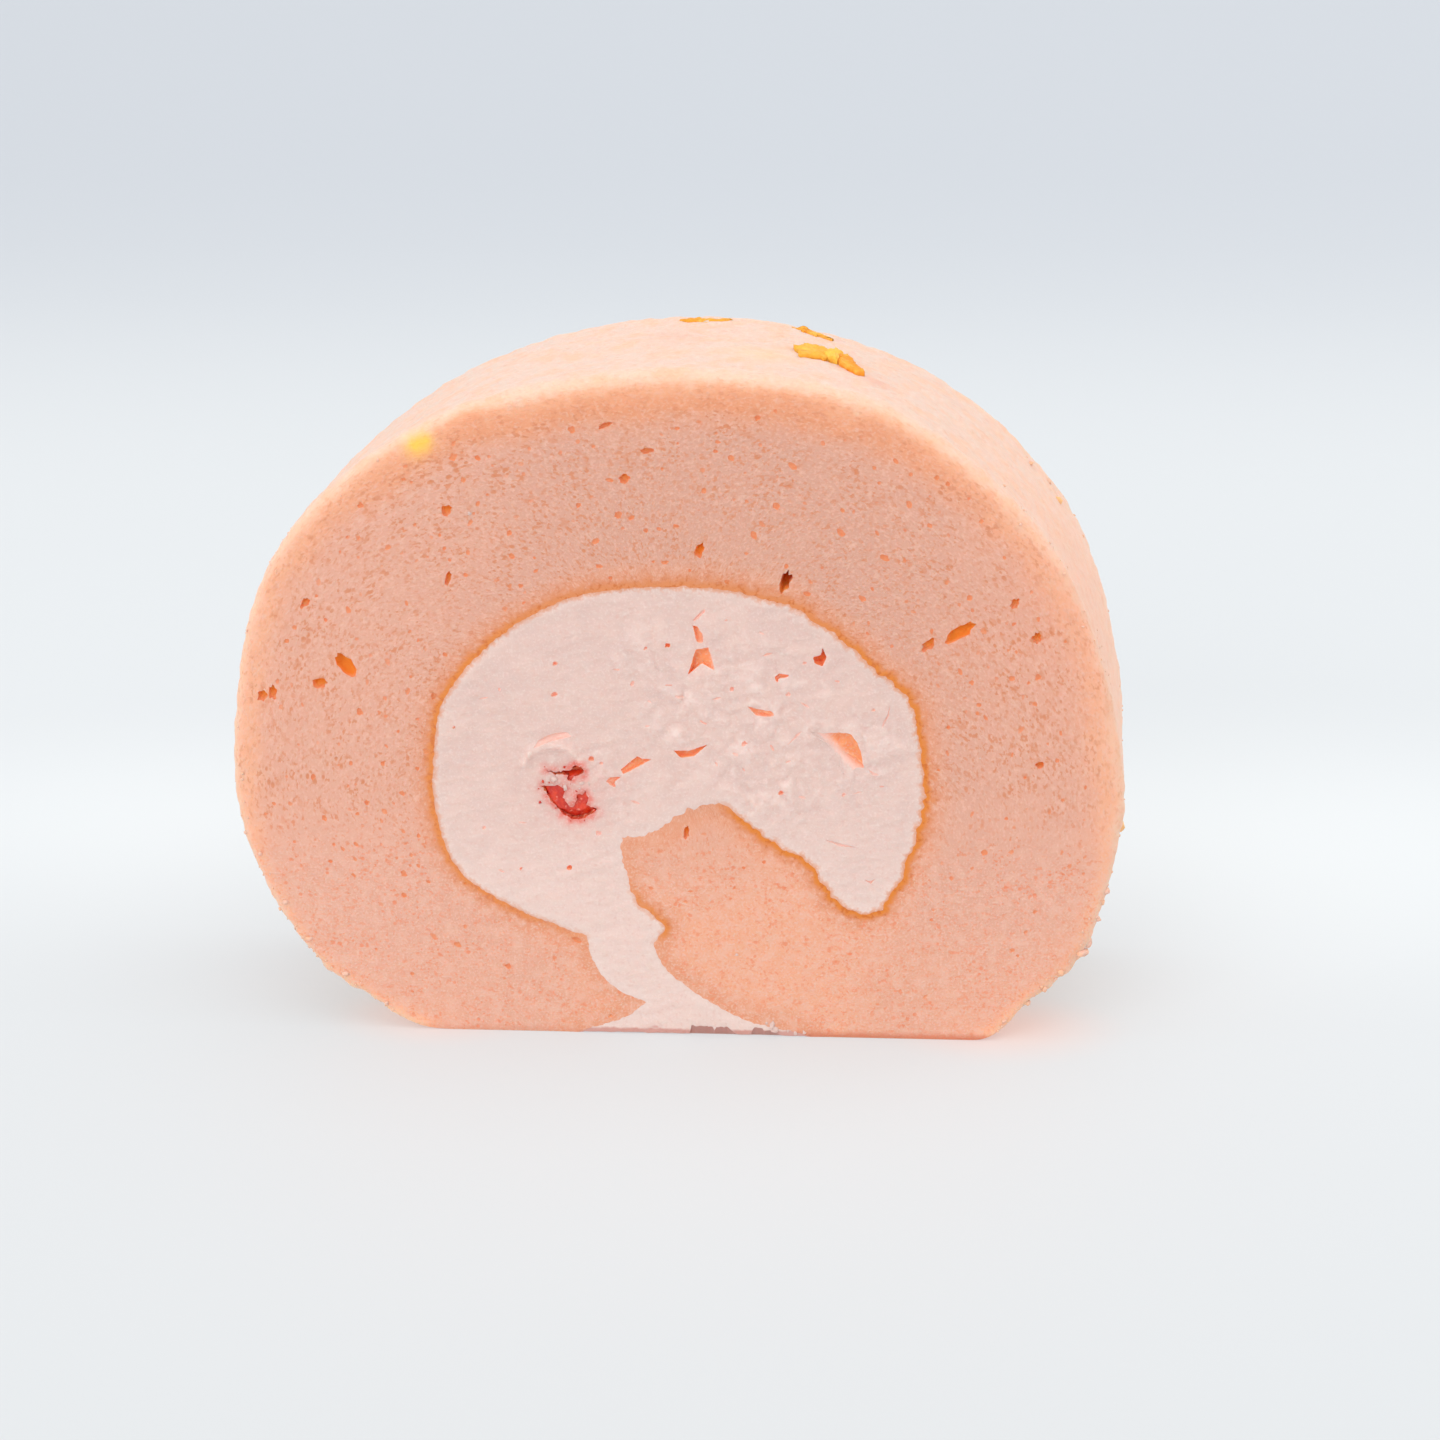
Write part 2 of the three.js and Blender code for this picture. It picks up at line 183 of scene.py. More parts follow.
def noise(points, size, seed=0):
    """Smooth noise from about -1 to 1, with lumps about `size` across, at 2-D or 3-D points."""
    q = np.asarray(points, float) / size
    if q.shape[-1] == 2:
        q = np.concatenate([q, np.zeros(q.shape[:-1] + (1,))], axis=-1)
    q = q @ TILT
    cell = np.floor(q).astype(np.int64)
    part = q - cell
    blend = part * part * part * (part * (part * 6 - 15) + 10)
    total = 0
    for corner in itertools.product((0, 1), repeat=3):
        weight = np.prod(np.where(corner, blend, 1 - blend), axis=-1)
        slope = lattice_slope(cell + np.array(corner), seed)
        total = total + weight * np.sum(slope * (part - corner), axis=-1)
    return NOISE_GAIN * total


def noise_sum(points, seed, *layers):
    """Noises added up; layers are (height, lump size) pairs, and their seeds run on."""
    return sum(height * noise(points, size, seed + k) for k, (height, size) in enumerate(layers))


def ramp(value, low, high):
    """0 below low, 1 above high, smooth between."""
    t = np.clip((np.asarray(value, float) - low) / (high - low), 0, 1)
    return t * t * (3 - 2 * t)


def bell(distance, reach):
    """1 in the middle, about a third at the reach, and falling off to 0 beyond it."""
    return np.exp(-(distance / reach) ** 2)


def away(points, spot):
    """Distance of section points from a spot."""
    return np.hypot(*(points - spot).T)


def turned(points, degrees):
    a = math.radians(degrees)
    return points @ np.array([[math.cos(a), math.sin(a)], [-math.sin(a), math.cos(a)]])


# ---- lines in the section ----

def spline(knots, per_span=16):
    """The smooth curve that three.js draws through the same knots."""
    k = np.array(knots, float)
    t = np.linspace(0, 1, per_span, endpoint=False)[:, None]
    pieces = []
    for i in range(len(k) - 1):
        a, b, c, d = k[max(i - 1, 0)], k[i], k[i + 1], k[min(i + 2, len(k) - 1)]
        into, out = (c - a) / 2, (d - b) / 2
        cubic = (2 * b - 2 * c + into + out) * t ** 3
        pieces.append(cubic + (3 * c - 3 * b - 2 * into - out) * t ** 2 + into * t + b)
    return np.vstack(pieces + [k[-1:]])


def lengths_along(line):
    return np.r_[0, np.cumsum(np.linalg.norm(np.diff(line[:, :2], axis=0), axis=1))]


def from_ends(line):
    """How far each point is from the nearer end, measured along the line."""
    s = lengths_along(line)
    return np.minimum(s, s[-1] - s)


def resample(line, step):
    """The same line with points about `step` apart, and any columns beyond the first two."""
    s = lengths_along(line)
    even = np.linspace(0, s[-1], max(2, round(s[-1] / step) + 1))
    return np.stack([np.interp(even, s, column) for column in line.T], axis=1)


def left_normals(line):
    """Unit vectors square to an open line, to its left: outwards, on a clockwise outline."""
    tangent = np.gradient(line[:, :2], axis=0)
    tangent /= np.linalg.norm(tangent, axis=1)[:, None]
    return np.stack([-tangent[:, 1], tangent[:, 0]], axis=1)


def from_foot(line):
    """The line from where it first rises from the foot, starting exactly on it."""
    first = np.argmax(line[:, 1] >= 0)
    if first == 0:
        return line
    below, above = line[first - 1], line[first]
    share = above[1] / (above[1] - below[1])
    return np.vstack([above + share * (below - above), line[first:]])


def above_foot(line):
    """The part of a line above the foot, with both ends exactly on it."""
    return from_foot(from_foot(line)[::-1])[::-1]


def distance_to(points, line):
    """Distance from each point to the nearest sample of a line, and that sample's index."""
    tree = KDTree(len(line))
    for i, (x, z) in enumerate(line[:, :2].tolist()):
        tree.insert((x, z, 0), i)
    tree.balance()
    found = [tree.find((x, z, 0)) for x, z in points[:, :2].tolist()]
    return np.array([f[2] for f in found]), np.array([f[1] for f in found])


def inside(points, loop, chunk=4000):
    """Which points lie inside a closed loop, by counting crossings."""
    a, b = loop, np.roll(loop, -1, axis=0)
    result = np.zeros(len(points), bool)
    for start in range(0, len(points), chunk):
        x, z = points[start:start + chunk, 0:1], points[start:start + chunk, 1:2]
        spans = (a[:, 1] > z) != (b[:, 1] > z)
        with np.errstate(divide="ignore", invalid="ignore"):
            cross = a[:, 0] + (z - a[:, 1]) / (b[:, 1] - a[:, 1]) * (b[:, 0] - a[:, 0])
        result[start:start + chunk] = (spans & (x < cross)).sum(axis=1) % 2 == 1
    return result


# ---- the section's two lines ----

WALL_STEP = 0.2
RIM_STEP = 0.32
FINE_STEP = 0.08


def wall_line():
    """The wall between sheet and cream, from the lap's foot to the curl's foot.

    Its columns are across, up and how browned it is.
    """
    rows = []
    for knots, browned in WALL_RUNS:
        line = spline(knots)
        share = lengths_along(line) / lengths_along(line)[-1]
        amount = np.interp(share, *zip(*browned))
        rows.append(np.column_stack([line, amount])[:-1])
    rows.append([[*CURL_OUTSIDE[-1], 0]])
    line = resample(above_foot(np.vstack(rows)), WALL_STEP)
    flat = line[:, :2]
    s = lengths_along(line)
    low, high = ROUGH_WALL
    rough = 0.45 + 0.9 * ramp(s, low - 15, low) * ramp(s, high + 15, high)
    jog = rough * noise_sum(flat, 11, (0.14, 2.3), (0.18, 1.0))
    jog += 0.17 * np.maximum(rough, 0.8) * noise(flat, 0.5, 13)
    jog *= ramp(from_ends(line), 0, 2)
    line[:, :2] += left_normals(line) * jog[:, None]
    line[:, 1] = np.maximum(line[:, 1], 0)
    return line


def rim_line():
    """The sheet's outside, from the lap's foot round to the curl's foot, with eased corners."""
    line = spline(SKIN)
    line = line[line[:, 1] > -FOOT_EASE]
    eased = (line[:, 1] + FOOT_EASE) ** 2 / (4 * FOOT_EASE)
    line[:, 1] = np.where(line[:, 1] < FOOT_EASE, eased, line[:, 1])
    return resample(np.vstack([LAP_FOOT, line, CURL_FOOT]), RIM_STEP)


WALL = wall_line()
LAP_FOOT, CURL_FOOT = WALL[0, :2], WALL[-1, :2]
RIM = rim_line()
FINE_WALL = resample(WALL, FINE_STEP)
FINE_RIM = resample(RIM, FINE_STEP)


def place(x, y, z):
    """Leans the straight slice, swells its far cut and centres it: metres, in the part's frame."""
    share = (y + HALF) / DEPTH
    swell = sum(rise * bell(x - at, reach) for at, reach, rise in BACK_SWELL)
    up = z + share * swell * ramp(z, HEIGHT / 2, HEIGHT)
    return np.stack([x + LEAN * y + CENTRE_SHIFT, y, up], axis=-1) * MM


# ---- meshes ----

def add_object(name, data):
    """A new object in the scene."""
    made = bpy.data.objects.new(name, data)
    bpy.context.scene.collection.objects.link(made)
    return made


def smooth_mesh(name, points, faces, material):
    mesh = bpy.data.meshes.new(name)
    mesh.from_pydata(points, [], faces)
    mesh.shade_smooth()
    mesh.materials.append(material)
    return mesh


def to_object(name, xyz, faces, material, fields=None, creases=()):
    """A smooth piece of the straight slice, with a vector attribute for each field's three values.

    Edges between two points of the same crease stay sharp.
    """
    mesh = smooth_mesh(name, place(*np.asarray(xyz).T).tolist(), faces, material)
    for field, values in (fields or {}).items():
        layer = mesh.attributes.new(field, "FLOAT_VECTOR", "POINT")
        rows = np.column_stack(np.broadcast_arrays(*values)).astype(np.float32)
        layer.data.foreach_set("vector", rows.ravel())
    ends = np.zeros(2 * len(mesh.edges), np.int32)
    mesh.edges.foreach_get("vertices", ends)
    crease_of = np.zeros(len(xyz), int)
    for number, crease in enumerate(creases, 1):
        crease_of[crease] = number
    first, second = crease_of[ends.reshape(-1, 2)].T
    sharp = (first == second) & (first > 0)
    mesh.attributes.new("sharp_edge", "BOOLEAN", "EDGE").data.foreach_set("value", sharp)
    piece = add_object(name, mesh)
    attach(piece, "root")
    return piece


class Pit:
    """A hole sunk into a cut: its rim in the section, and how deep it goes."""

    def __init__(self, rim, depth, floor=0.45, rings=2, falls=(0, 0)):
        self.rim = np.asarray(rim, float)
        self.depth = depth
        self.floor = floor
        self.rings = rings
        self.middle = self.rim.mean(axis=0)
        self.reach = np.linalg.norm(self.rim - self.middle, axis=1).max()
        self.falls = np.array(falls, float)

    def depth_at(self, at):
        """The floor's depth at points of the section, where it falls one way."""
        return self.depth * np.clip(1 + (at - self.middle) @ self.falls / self.reach, 0.04, 3)


def ragged_oval(at, length, width, turn, count, roughness, rng):
    """The rim of a torn oval hole; `turn` tilts its length, in degrees."""
    a = np.linspace(0, 2 * math.pi, count, endpoint=False)
    r = 1 + roughness * rng.uniform(-1, 1, count)
    oval = np.column_stack([r * np.cos(a) * length / 2, r * np.sin(a) * width / 2])
    return turned(oval, turn) + at


def torn_outline(corners, roughness, step, rng):
    """A tear's rim: its corners joined by nearly straight, slightly ragged sides."""
    loop = np.vstack([corners, corners[:1]]).astype(float)
    line = resample(loop, step)[:-1]
    area = np.sum(line[:, 0] * np.roll(line[:, 1], -1) - line[:, 1] * np.roll(line[:, 0], -1))
    if area < 0:
        line = line[::-1]
    return line + roughness * rng.uniform(-1, 1, line.shape)


GRID_JITTER = 0.28   # how far the grid's points stray, as a share of its step
GRID_GAP = 0.55      # how close they come to any outline, as a share of its step
LINE_GAP = 0.22      # how close the rows beside an outline come to it
SAME_POINT = 1e-5


def hex_grid(low, high, step, rng):
    rows = np.arange(low[1], high[1], step * math.sqrt(3) / 2)
    columns = np.arange(low[0], high[0], step)
    x, z = np.meshgrid(columns, rows)
    x = x + np.where(np.arange(len(rows)) % 2, step / 2, 0)[:, None]
    grid = np.stack([x.ravel(), z.ravel()], axis=1)
    return grid + rng.uniform(-GRID_JITTER, GRID_JITTER, grid.shape) * step


def open_ground(points, loop, pits):
    """Which points lie inside a loop and in none of the pits."""
    result = inside(points, loop)
    for pit in pits:
        near = np.flatnonzero(np.linalg.norm(points - pit.middle, axis=1) < pit.reach)
        result[near] &= ~inside(points[near], pit.rim)
    return result


def fill_face(loop, pits, step, near_lines, rng):
    """Triangles over a loop with the pits' rims left open.

    Returns the 2-D points (loop first, then each rim, then the rest) and the triangles.
    """
    rims = [loop] + [pit.rim for pit in pits]
    counts = [len(rim) for rim in rims]
    starts = np.cumsum([0] + counts[:-1]).tolist()
    edges = [(at + i, at + (i + 1) % n) for at, n in zip(starts, counts) for i in range(n)]
    fixed = np.vstack(rims)
    near_lines = near_lines[distance_to(near_lines, fixed)[0] > LINE_GAP]
    grid = hex_grid(loop.min(0), loop.max(0), step, rng)
    grid = grid[distance_to(grid, np.vstack([fixed, near_lines]))[0] > GRID_GAP * step]
    loose = np.vstack([near_lines, grid])
    everything = np.vstack([fixed, loose[open_ground(loose, loop, pits)]])
    made, _, triangles, sources, _, _ = delaunay_2d_cdt(
        [Vector(p) for p in everything], edges, [], 0, SAME_POINT)
    if len(made) != len(everything):
        raise ValueError(f"outlines cross near {made[len(everything):]}")
    triangles = np.array([s[0] for s in sources])[np.array(triangles)]
    centres = everything[triangles].mean(axis=1)
    return everything, triangles[open_ground(centres, loop, pits)]


def strip(a, b):
    """Quads between two rows of point ids."""
    return np.column_stack([a[:-1], a[1:], b[1:], b[:-1]])


class Slab:
    """A closed slab cut from the roll.

    Its outline is a `rim`, which has rounded edges, and a `seam`, the wall it shares with its
    neighbour. Both cuts are filled with triangles, relief and pits.
    """

    EDGE_RINGS = 4
    COLUMN_STEP = 0.5
    INNER_COLUMN = 0.985   # a column close to each edge, as a share of the half depth

    def __init__(self, rim, seam, radius, push, at_edge=0.25):
        self.rim, self.seam, self.radius = rim, seam, radius
        self.at_edge = at_edge   # share of the relief that reaches the cuts
        self.xyz, self.faces, self.pit = [], [], []
        self.creases = []
        self.count = 0
        self.add_rim(push)
        self.add_seam()

    def add(self, x, y, z, pit=0.0):
        n = len(x)
        self.xyz.append(np.column_stack([x, np.broadcast_to(y, n), z]))
        self.pit.append(np.broadcast_to(np.asarray(pit, float), n))
        self.count += n
        return np.arange(self.count - n, self.count)

    def add_faces(self, side, polygons):
        """Adds a cut's faces, given as seen from the front."""
        self.faces += (polygons if side < 0 else polygons[:, ::-1]).tolist()

    def add_rim(self, push):
        """The grid across the rim, with a quarter-round at each edge; push gives its relief."""
        normal = left_normals(self.rim)
        turns = np.linspace(0, math.pi / 2, self.EDGE_RINGS + 1)
        middle = round((DEPTH - 2 * SOFT_EDGE) / self.COLUMN_STEP)
        inner = [2 * k / middle - 1 for k in range(1, middle)]
        inner = [-self.INNER_COLUMN, *inner, self.INNER_COLUMN]
        columns = [(-1, a) for a in turns] + [(at, turns[-1]) for at in inner]
        columns += [(1, a) for a in turns[::-1]]
        ids = []
        for where, turn in columns:
            facing = math.sin(turn)
            y = where * (HALF - self.radius * (1 - math.cos(turn)))
            relief = push(self.rim, y) * (self.at_edge + (1 - self.at_edge) * facing)
            out = relief - self.radius * (1 - facing)
            x = self.rim[:, 0] + normal[:, 0] * out
            z = np.maximum(self.rim[:, 1] + normal[:, 1] * out, 0)
            ids.append(self.add(x, y, z))
        self.rim_ids = np.array(ids)
        for a, b in zip(self.rim_ids[:-1], self.rim_ids[1:]):
            self.faces += strip(a, b).tolist()

    def add_seam(self):
        """The flat-sided strip where this slab meets its neighbour."""
        x, z = self.seam[1:-1, 0], self.seam[1:-1, 1]
        front = self.add(x, -HALF, z)
        back = self.add(x, HALF, z)
        self.faces += strip(front, back).tolist()
        before, after = self.rim_ids[:, -1], self.rim_ids[:, 0]
        self.faces.append(before[::-1].tolist() + [front[0], back[0]])
        self.faces.append(after.tolist() + [back[-1], front[-1]])
        self.seam_ids = {-1: front, 1: back}
        self.creases += [front, back]

    def add_cut(self, side, pits, step, relief, near_lines, rng):
        """Fills the front cut (side -1) or the back cut (side 1)."""
        edge = self.rim_ids[0 if side < 0 else -1]
        boundary = np.concatenate([edge, self.seam_ids[side]])
        loop = np.vstack(self.xyz)[boundary][:, [0, 2]]
        points, triangles = fill_face(loop, pits, step, near_lines, rng)
        fresh = points[len(loop):]
        margin, _ = distance_to(fresh, loop)
        height = relief(fresh) * ramp(margin, 0, 0.7)
        ids = self.add(fresh[:, 0], side * (HALF + height), fresh[:, 1])
        whole = np.concatenate([boundary, ids])
        self.add_faces(side, whole[triangles])
        at = 0
        for pit in pits:
            n = len(pit.rim)
            self.sink(side, pit, ids[at:at + n], height[at:at + n], rng)
            self.creases.append(ids[at:at + n])
            at += n

    def sink(self, side, pit, rim_ids, rim_height, rng):
        """Closes a pit's open rim with narrowing rings and a floor."""
        n = len(pit.rim)
        previous = rim_ids
        shares = np.r_[0.05, np.linspace(0, 1, pit.rings + 1)[1:], 1]
        scales = 1 - (1 - pit.floor) * shares ** 1.6
        scales[-1] *= 0.5
        for share, scale in zip(shares, scales):
            rough = 1 + 0.2 * min(share, 0.5) * rng.uniform(-1, 1, n)
            ring = pit.middle + (pit.rim - pit.middle) * scale * rough[:, None]
            sunk = pit.depth_at(ring) * share ** 0.8 * (1 + 0.1 * rng.uniform(-1, 1, n))
            y = side * (HALF + rim_height - sunk)
            # The pit value grows with depth; the looks paint deeper shade with it.
            tint = pit.depth_at(ring) * (0.6 + 0.4 * share)
            ids = self.add(ring[:, 0], y, ring[:, 1], pit=tint)
            self.add_faces(side, strip(np.r_[previous, previous[0]], np.r_[ids, ids[0]]))
            previous = ids
        deepest = pit.depth_at(pit.middle)
        y = side * (HALF + rim_height.mean() - deepest)
        tip = self.add(pit.middle[:1], y, pit.middle[1:], pit=deepest)
        self.add_faces(side, np.column_stack([previous, np.roll(previous, -1), np.repeat(tip, n)]))

    def finished(self):
        return np.vstack(self.xyz), self.faces, np.concatenate(self.pit)


class Taken:
    """Round places that later ones keep clear of."""

    def __init__(self, middles, reaches):
        self.middles, self.reaches = np.array(middles), np.array(reaches)

    def gap(self, spot):
        """Free distance from a spot to the nearest place."""
        return (np.linalg.norm(self.middles - spot, axis=1) - self.reaches).min()

    def add(self, spot, reach):
        self.middles = np.vstack([self.middles, spot])
        self.reaches = np.append(self.reaches, reach)


def rows_beside(line, offsets):
    """Copies of an open line moved to its right by each offset."""
    normal = left_normals(line)
    return np.vstack([line[:, :2] - normal * offset for offset in offsets])


# ---- sponge ----

PORE_SIZES = (0.24, 0.7)   # narrowest and widest scattered pore
PORE_FALL = 3.6            # how fast pores get rarer with their width
PORE_GAP = 0.16
PORE_CLEARANCE = 1.25      # room that a pore takes, as a share of its reach
PORES = 300                # scattered pores in each cut
PORE_TRIES = 40            # places tried for each
PORE_STRETCH = 0.8         # how much longer than wide the longest are
PORE_TILT = 35             # they turn up to this far from the sheet's run, in degrees
PORE_DEPTHS = (0.1, 0.24)  # shallowest and deepest, as a share of the width
FLOW_RADIUS = 23           # pores are drawn out along the sheet, the more the smaller this is


def pore_density(points, to_rim, to_wall):
    """How likely a pore is at a place: few just under the skin, in the lap and in the curl."""
    crowd = 0.55 + 0.45 * noise(points, 9, 41) + 0.3 * noise(points, 3, 42)
    low = 0.25 + 0.75 * ramp(points[:, 1], 12, 26)
    left = 1 + 0.35 * ramp(points[:, 0], 5, -30)
    return crowd * low * left * ramp(to_rim, 1.2, 5) * (0.5 + 0.5 * ramp(to_wall, 0.4, 2))


def scatter_pores(count, rng):
    """Small pores between the named ones, largest first, none touching another."""
    loop = np.vstack([RIM, WALL[::-1, :2]])
    spots = rng.uniform(loop.min(0), loop.max(0), (PORE_TRIES * count, 2))
    spots = spots[inside(spots, loop)]
    to_rim, _ = distance_to(spots, FINE_RIM)
    to_wall, _ = distance_to(spots, FINE_WALL)
    wanted = rng.uniform(0, 1.6, len(spots)) < pore_density(spots, to_rim, to_wall)
    room = np.minimum(to_rim - 2 * SOFT_EDGE, to_wall)[wanted]
    spots = spots[wanted]
    narrow, wide = PORE_SIZES
    draw = rng.uniform(0, 1, len(spots))
    rarity = narrow ** -PORE_FALL + draw * (wide ** -PORE_FALL - narrow ** -PORE_FALL)
    sizes = rarity ** (-1 / PORE_FALL)
    named = np.array(LARGE_PORES)
    taken = Taken(named[:, :2], named[:, 2] / 2)
    pits = []
    for k in np.argsort(-sizes[:4 * count]):
        long = 1 + PORE_STRETCH * rng.uniform() ** 2
        reach = sizes[k] * long / 2
        clear = PORE_CLEARANCE * reach
        if room[k] < reach + 0.3 or taken.gap(spots[k]) < clear + PORE_GAP:
            continue
        taken.add(spots[k], clear)
        corners = 8 if sizes[k] < 0.5 else 10
        around = math.degrees(math.atan2(spots[k][1] - HEIGHT / 2, spots[k][0])) + 90
        tilt = around + rng.uniform(-PORE_TILT, PORE_TILT)
        rim = ragged_oval(spots[k], sizes[k] * long, sizes[k], tilt, corners, 0.26, rng)
        pits.append(Pit(rim, sizes[k] * rng.uniform(*PORE_DEPTHS), floor=0.5))
        if len(pits) == count:
            break
    return pits


def large_pores(rng):
    pits = []
    for x, z, length, width, turn, depth in LARGE_PORES:
        rim = ragged_oval((x, z), length, width, turn, 16, 0.27, rng)
        pits.append(Pit(rim, depth, floor=0.6, rings=3, falls=(0, 0.4)))
    return pits


def skin_push(rim, y):
    """The skin's gentle unevenness, as in the CAD part, and its fine nap."""
    angle = np.arctan2(rim[:, 1] - HEIGHT / 2, rim[:, 0])
    waves = np.sin(5 * angle + 0.7) + 0.7 * np.sin(11 * angle - 1.9 + 0.09 * y)
    waves += np.sin(0.31 * y + 3 * angle) + 0.6 * np.sin(0.53 * y - 7 * angle)
    at = np.column_stack([rim, np.broadcast_to(y, len(rim))])
    nap = noise_sum(at, 51, (0.12, 6), (0.06, 2.2), (0.1, 1.4), (0.05, 0.75))
    torn = noise_sum(at, 55, (0.26, 2.8), (0.3, 1.3), (0.14, 0.7))
    torn *= 0.15 + 0.85 * ramp(rim[:, 1], 20, 6)
    swell = SKIN_WOBBLE * waves / 2 * ramp(rim[:, 1], 0, HEIGHT / 3)
    return swell + (nap + torn) * ramp(rim[:, 1], 0.2, 3)


def crumb_relief(points):
    return noise_sum(points, 61, (0.07, 5), (0.05, 1.6), (0.025, 0.8))


# Soft marks on the skin: across, along the roll, up, reach, strength.
YELLOW_SPOTS = [
    (-24.6, -11.8, 63.2, 1.0, 0.9), (-23.6, -11.8, 63.8, 0.8, 0.9), (8, -3, 70, 3, 0.2),
]
PINK_STAINS = [(19.5, -4, 68, 1.6, 0.7), (-1, 3, 70.8, 3, 0.25), (42, -6, 46, 12, 0.3)]


def soft_marks(xyz, marks):
    total = np.zeros(len(xyz))
    for x, y, z, reach, strength in marks:
        gap = np.linalg.norm(xyz - (x, y, z), axis=1)
        total += strength * bell(gap, reach) * (1 + 0.5 * noise(xyz, 0.8, 71))
    return np.clip(total, 0, 1)


EDGE_COLUMNS = Slab.EDGE_RINGS + 2   # columns of the rim's grid by each rounded edge
CRUMB_STEPS = [(-1, 0.6), (1, 0.78)]   # each cut and its grid's step
ROWS_BY_CREAM = (-0.32, -0.66, -1.1, -1.6)
ROWS_BY_SKIN = (1.3, 1.8, 2.4)


def make_sponge(material):
    """Makes the sheet and returns the points on its skin."""
    rng = np.random.default_rng(17)
    rim_up = RIM[:, 1]
    uneven = noise_sum(RIM, 21, (0.25, 5), (0.12, 1.5))
    edge = SOFT_EDGE * (1 + 0.5 * ramp(rim_up, 45, 66) + uneven)
    radius = FOOT_EDGE + (edge - FOOT_EDGE) * ramp(rim_up, 0, 4)
    radius = np.where(rim_up < 0.5, FOOT_EDGE, radius) * (0.1 + 0.9 * ramp(from_ends(RIM), 0, 2))
    slab = Slab(RIM, WALL[::-1, :2], radius, skin_push)
    beside = np.vstack([rows_beside(WALL, ROWS_BY_CREAM), rows_beside(RIM, ROWS_BY_SKIN)])
    for side, step in CRUMB_STEPS:
        pits = large_pores(rng) + scatter_pores(PORES, rng)
        slab.add_cut(side, pits, step, crumb_relief, beside, rng)
    xyz, faces, pit = slab.finished()
    flat = xyz[:, [0, 2]]
    across, up = flat.T
    to_rim, _ = distance_to(flat, FINE_RIM[FINE_RIM[:, 1] > 0.3])
    to_wall, nearest = distance_to(flat, FINE_WALL)
    to_rim[slab.rim_ids[EDGE_COLUMNS:-EDGE_COLUMNS].ravel()] = 0
    over_edge = to_rim - np.maximum(HALF - np.abs(xyz[:, 1]), 0)
    curl = bell(away(flat, CURL_MIDDLE), CURL_REACH)
    warmth = bell(to_rim, 4) + 0.8 * bell(to_wall, 2) + 0.8 * curl
    warmth += 0.5 * ramp(up, 22, 4) + 0.15 * noise(flat, 7, 64)
    flank = np.maximum(ramp(across, -2, -34), 0.8 * ramp(across, 18, 38))
    angle = np.arctan2(up - HEIGHT / 2, across)
    yellow, pink = soft_marks(xyz, YELLOW_SPOTS), soft_marks(xyz, PINK_STAINS)
    piece = to_object("sponge_sheet", xyz, faces, material, {
        "sheet": (over_edge, to_wall, FINE_WALL[nearest, 2]),
        "crumb": (pit, pore_density(flat, to_rim, to_wall), np.clip(warmth, 0, 1)),
        "marks": (yellow, pink, ramp(up, 42, 71)),
        "layers": (FLOW_RADIUS * np.cos(angle), FLOW_RADIUS * np.sin(angle), over_edge),
        "lower": (ramp(up, 28, 16), ramp(up, 14, 3), flank),
    }, slab.creases)
    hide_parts("sponge")
    return xyz[slab.rim_ids.ravel()]


# ---- cream ----

# Curdled places in the cream: across, up, reach.
CURDLED = [(10, 30, 7), (9, 40, 6), (-9, 29, 5), (20, 32, 4), (1, 36, 4), (-3, 42, 3)]
TEAR_STEP = 0.26
CRACKS = 24
CRACK_TRIES = 900
SMEAR_TURN = -18   # the knife drew the cream this way, in degrees


def curdled(points):
    """How curdled the cream is at a place, 0 to 1."""
    total = sum(bell(away(points, (x, z)), reach) for x, z, reach in CURDLED)
    return np.clip(total, 0, 1)


def cream_clumps(points):
    """Rounded clumps with creases between them, 0 in a crease."""
    warped = points + 0.8 * np.column_stack([noise(points, 2.5, 88), noise(points, 2.5, 89)])
    clumps = 0.7 * np.abs(noise(warped, 2.4, 85)) + 0.45 * np.abs(noise(warped, 1.1, 86))
    return clumps + 0.25 * np.abs(noise(warped, 0.5, 87))


# Raised rims of torn cream: line, height, half width.
RIDGES = [
    ([[-14.9, 30.3], [-14.4, 31.3], [-13.2, 32.1], [-11.7, 32.4], [-10.4, 32.1], [-9.6, 31.2],
      [-8.9, 30.1]], 0.4, 0.45),
    ([[6.3, 29.4], [6.6, 31.4], [8.2, 32.3], [9.9, 31.6], [10.4, 30], [9.6, 28.5]], 0.14, 0.4),
    ([[5.2, 27.9], [6.6, 27.6], [7.8, 26.6], [9, 25.8]], 0.22, 0.4),
    ([[14.1, 34.9], [16.3, 34.7], [18.7, 34.6], [19.7, 33.3]], 0.12, 0.4),
]


def ridges(points):
    total = 0
    for line, height, half_width in RIDGES:
        gap, _ = distance_to(points, resample(np.array(line, float), 0.2))
        uneven = 1 + noise_sum(points, 97, (0.6, 0.9), (0.5, 0.45))
        total = total + height * uneven * bell(gap, half_width)
    return total


def cream_relief(points):
    """Soft swells, long smears left by the knife, and curdled clumps in places."""
    swell = noise_sum(points, 81, (0.12, 6), (0.06, 2))
    along = turned(points, SMEAR_TURN)
    smear = 0.05 * noise(along * (0.25, 1), 0.8, 83) + 0.03 * noise(along * (0.2, 1), 0.4, 84)
    return swell + smear + ridges(points) + (0.06 + 0.28 * curdled(points)) * cream_clumps(points)


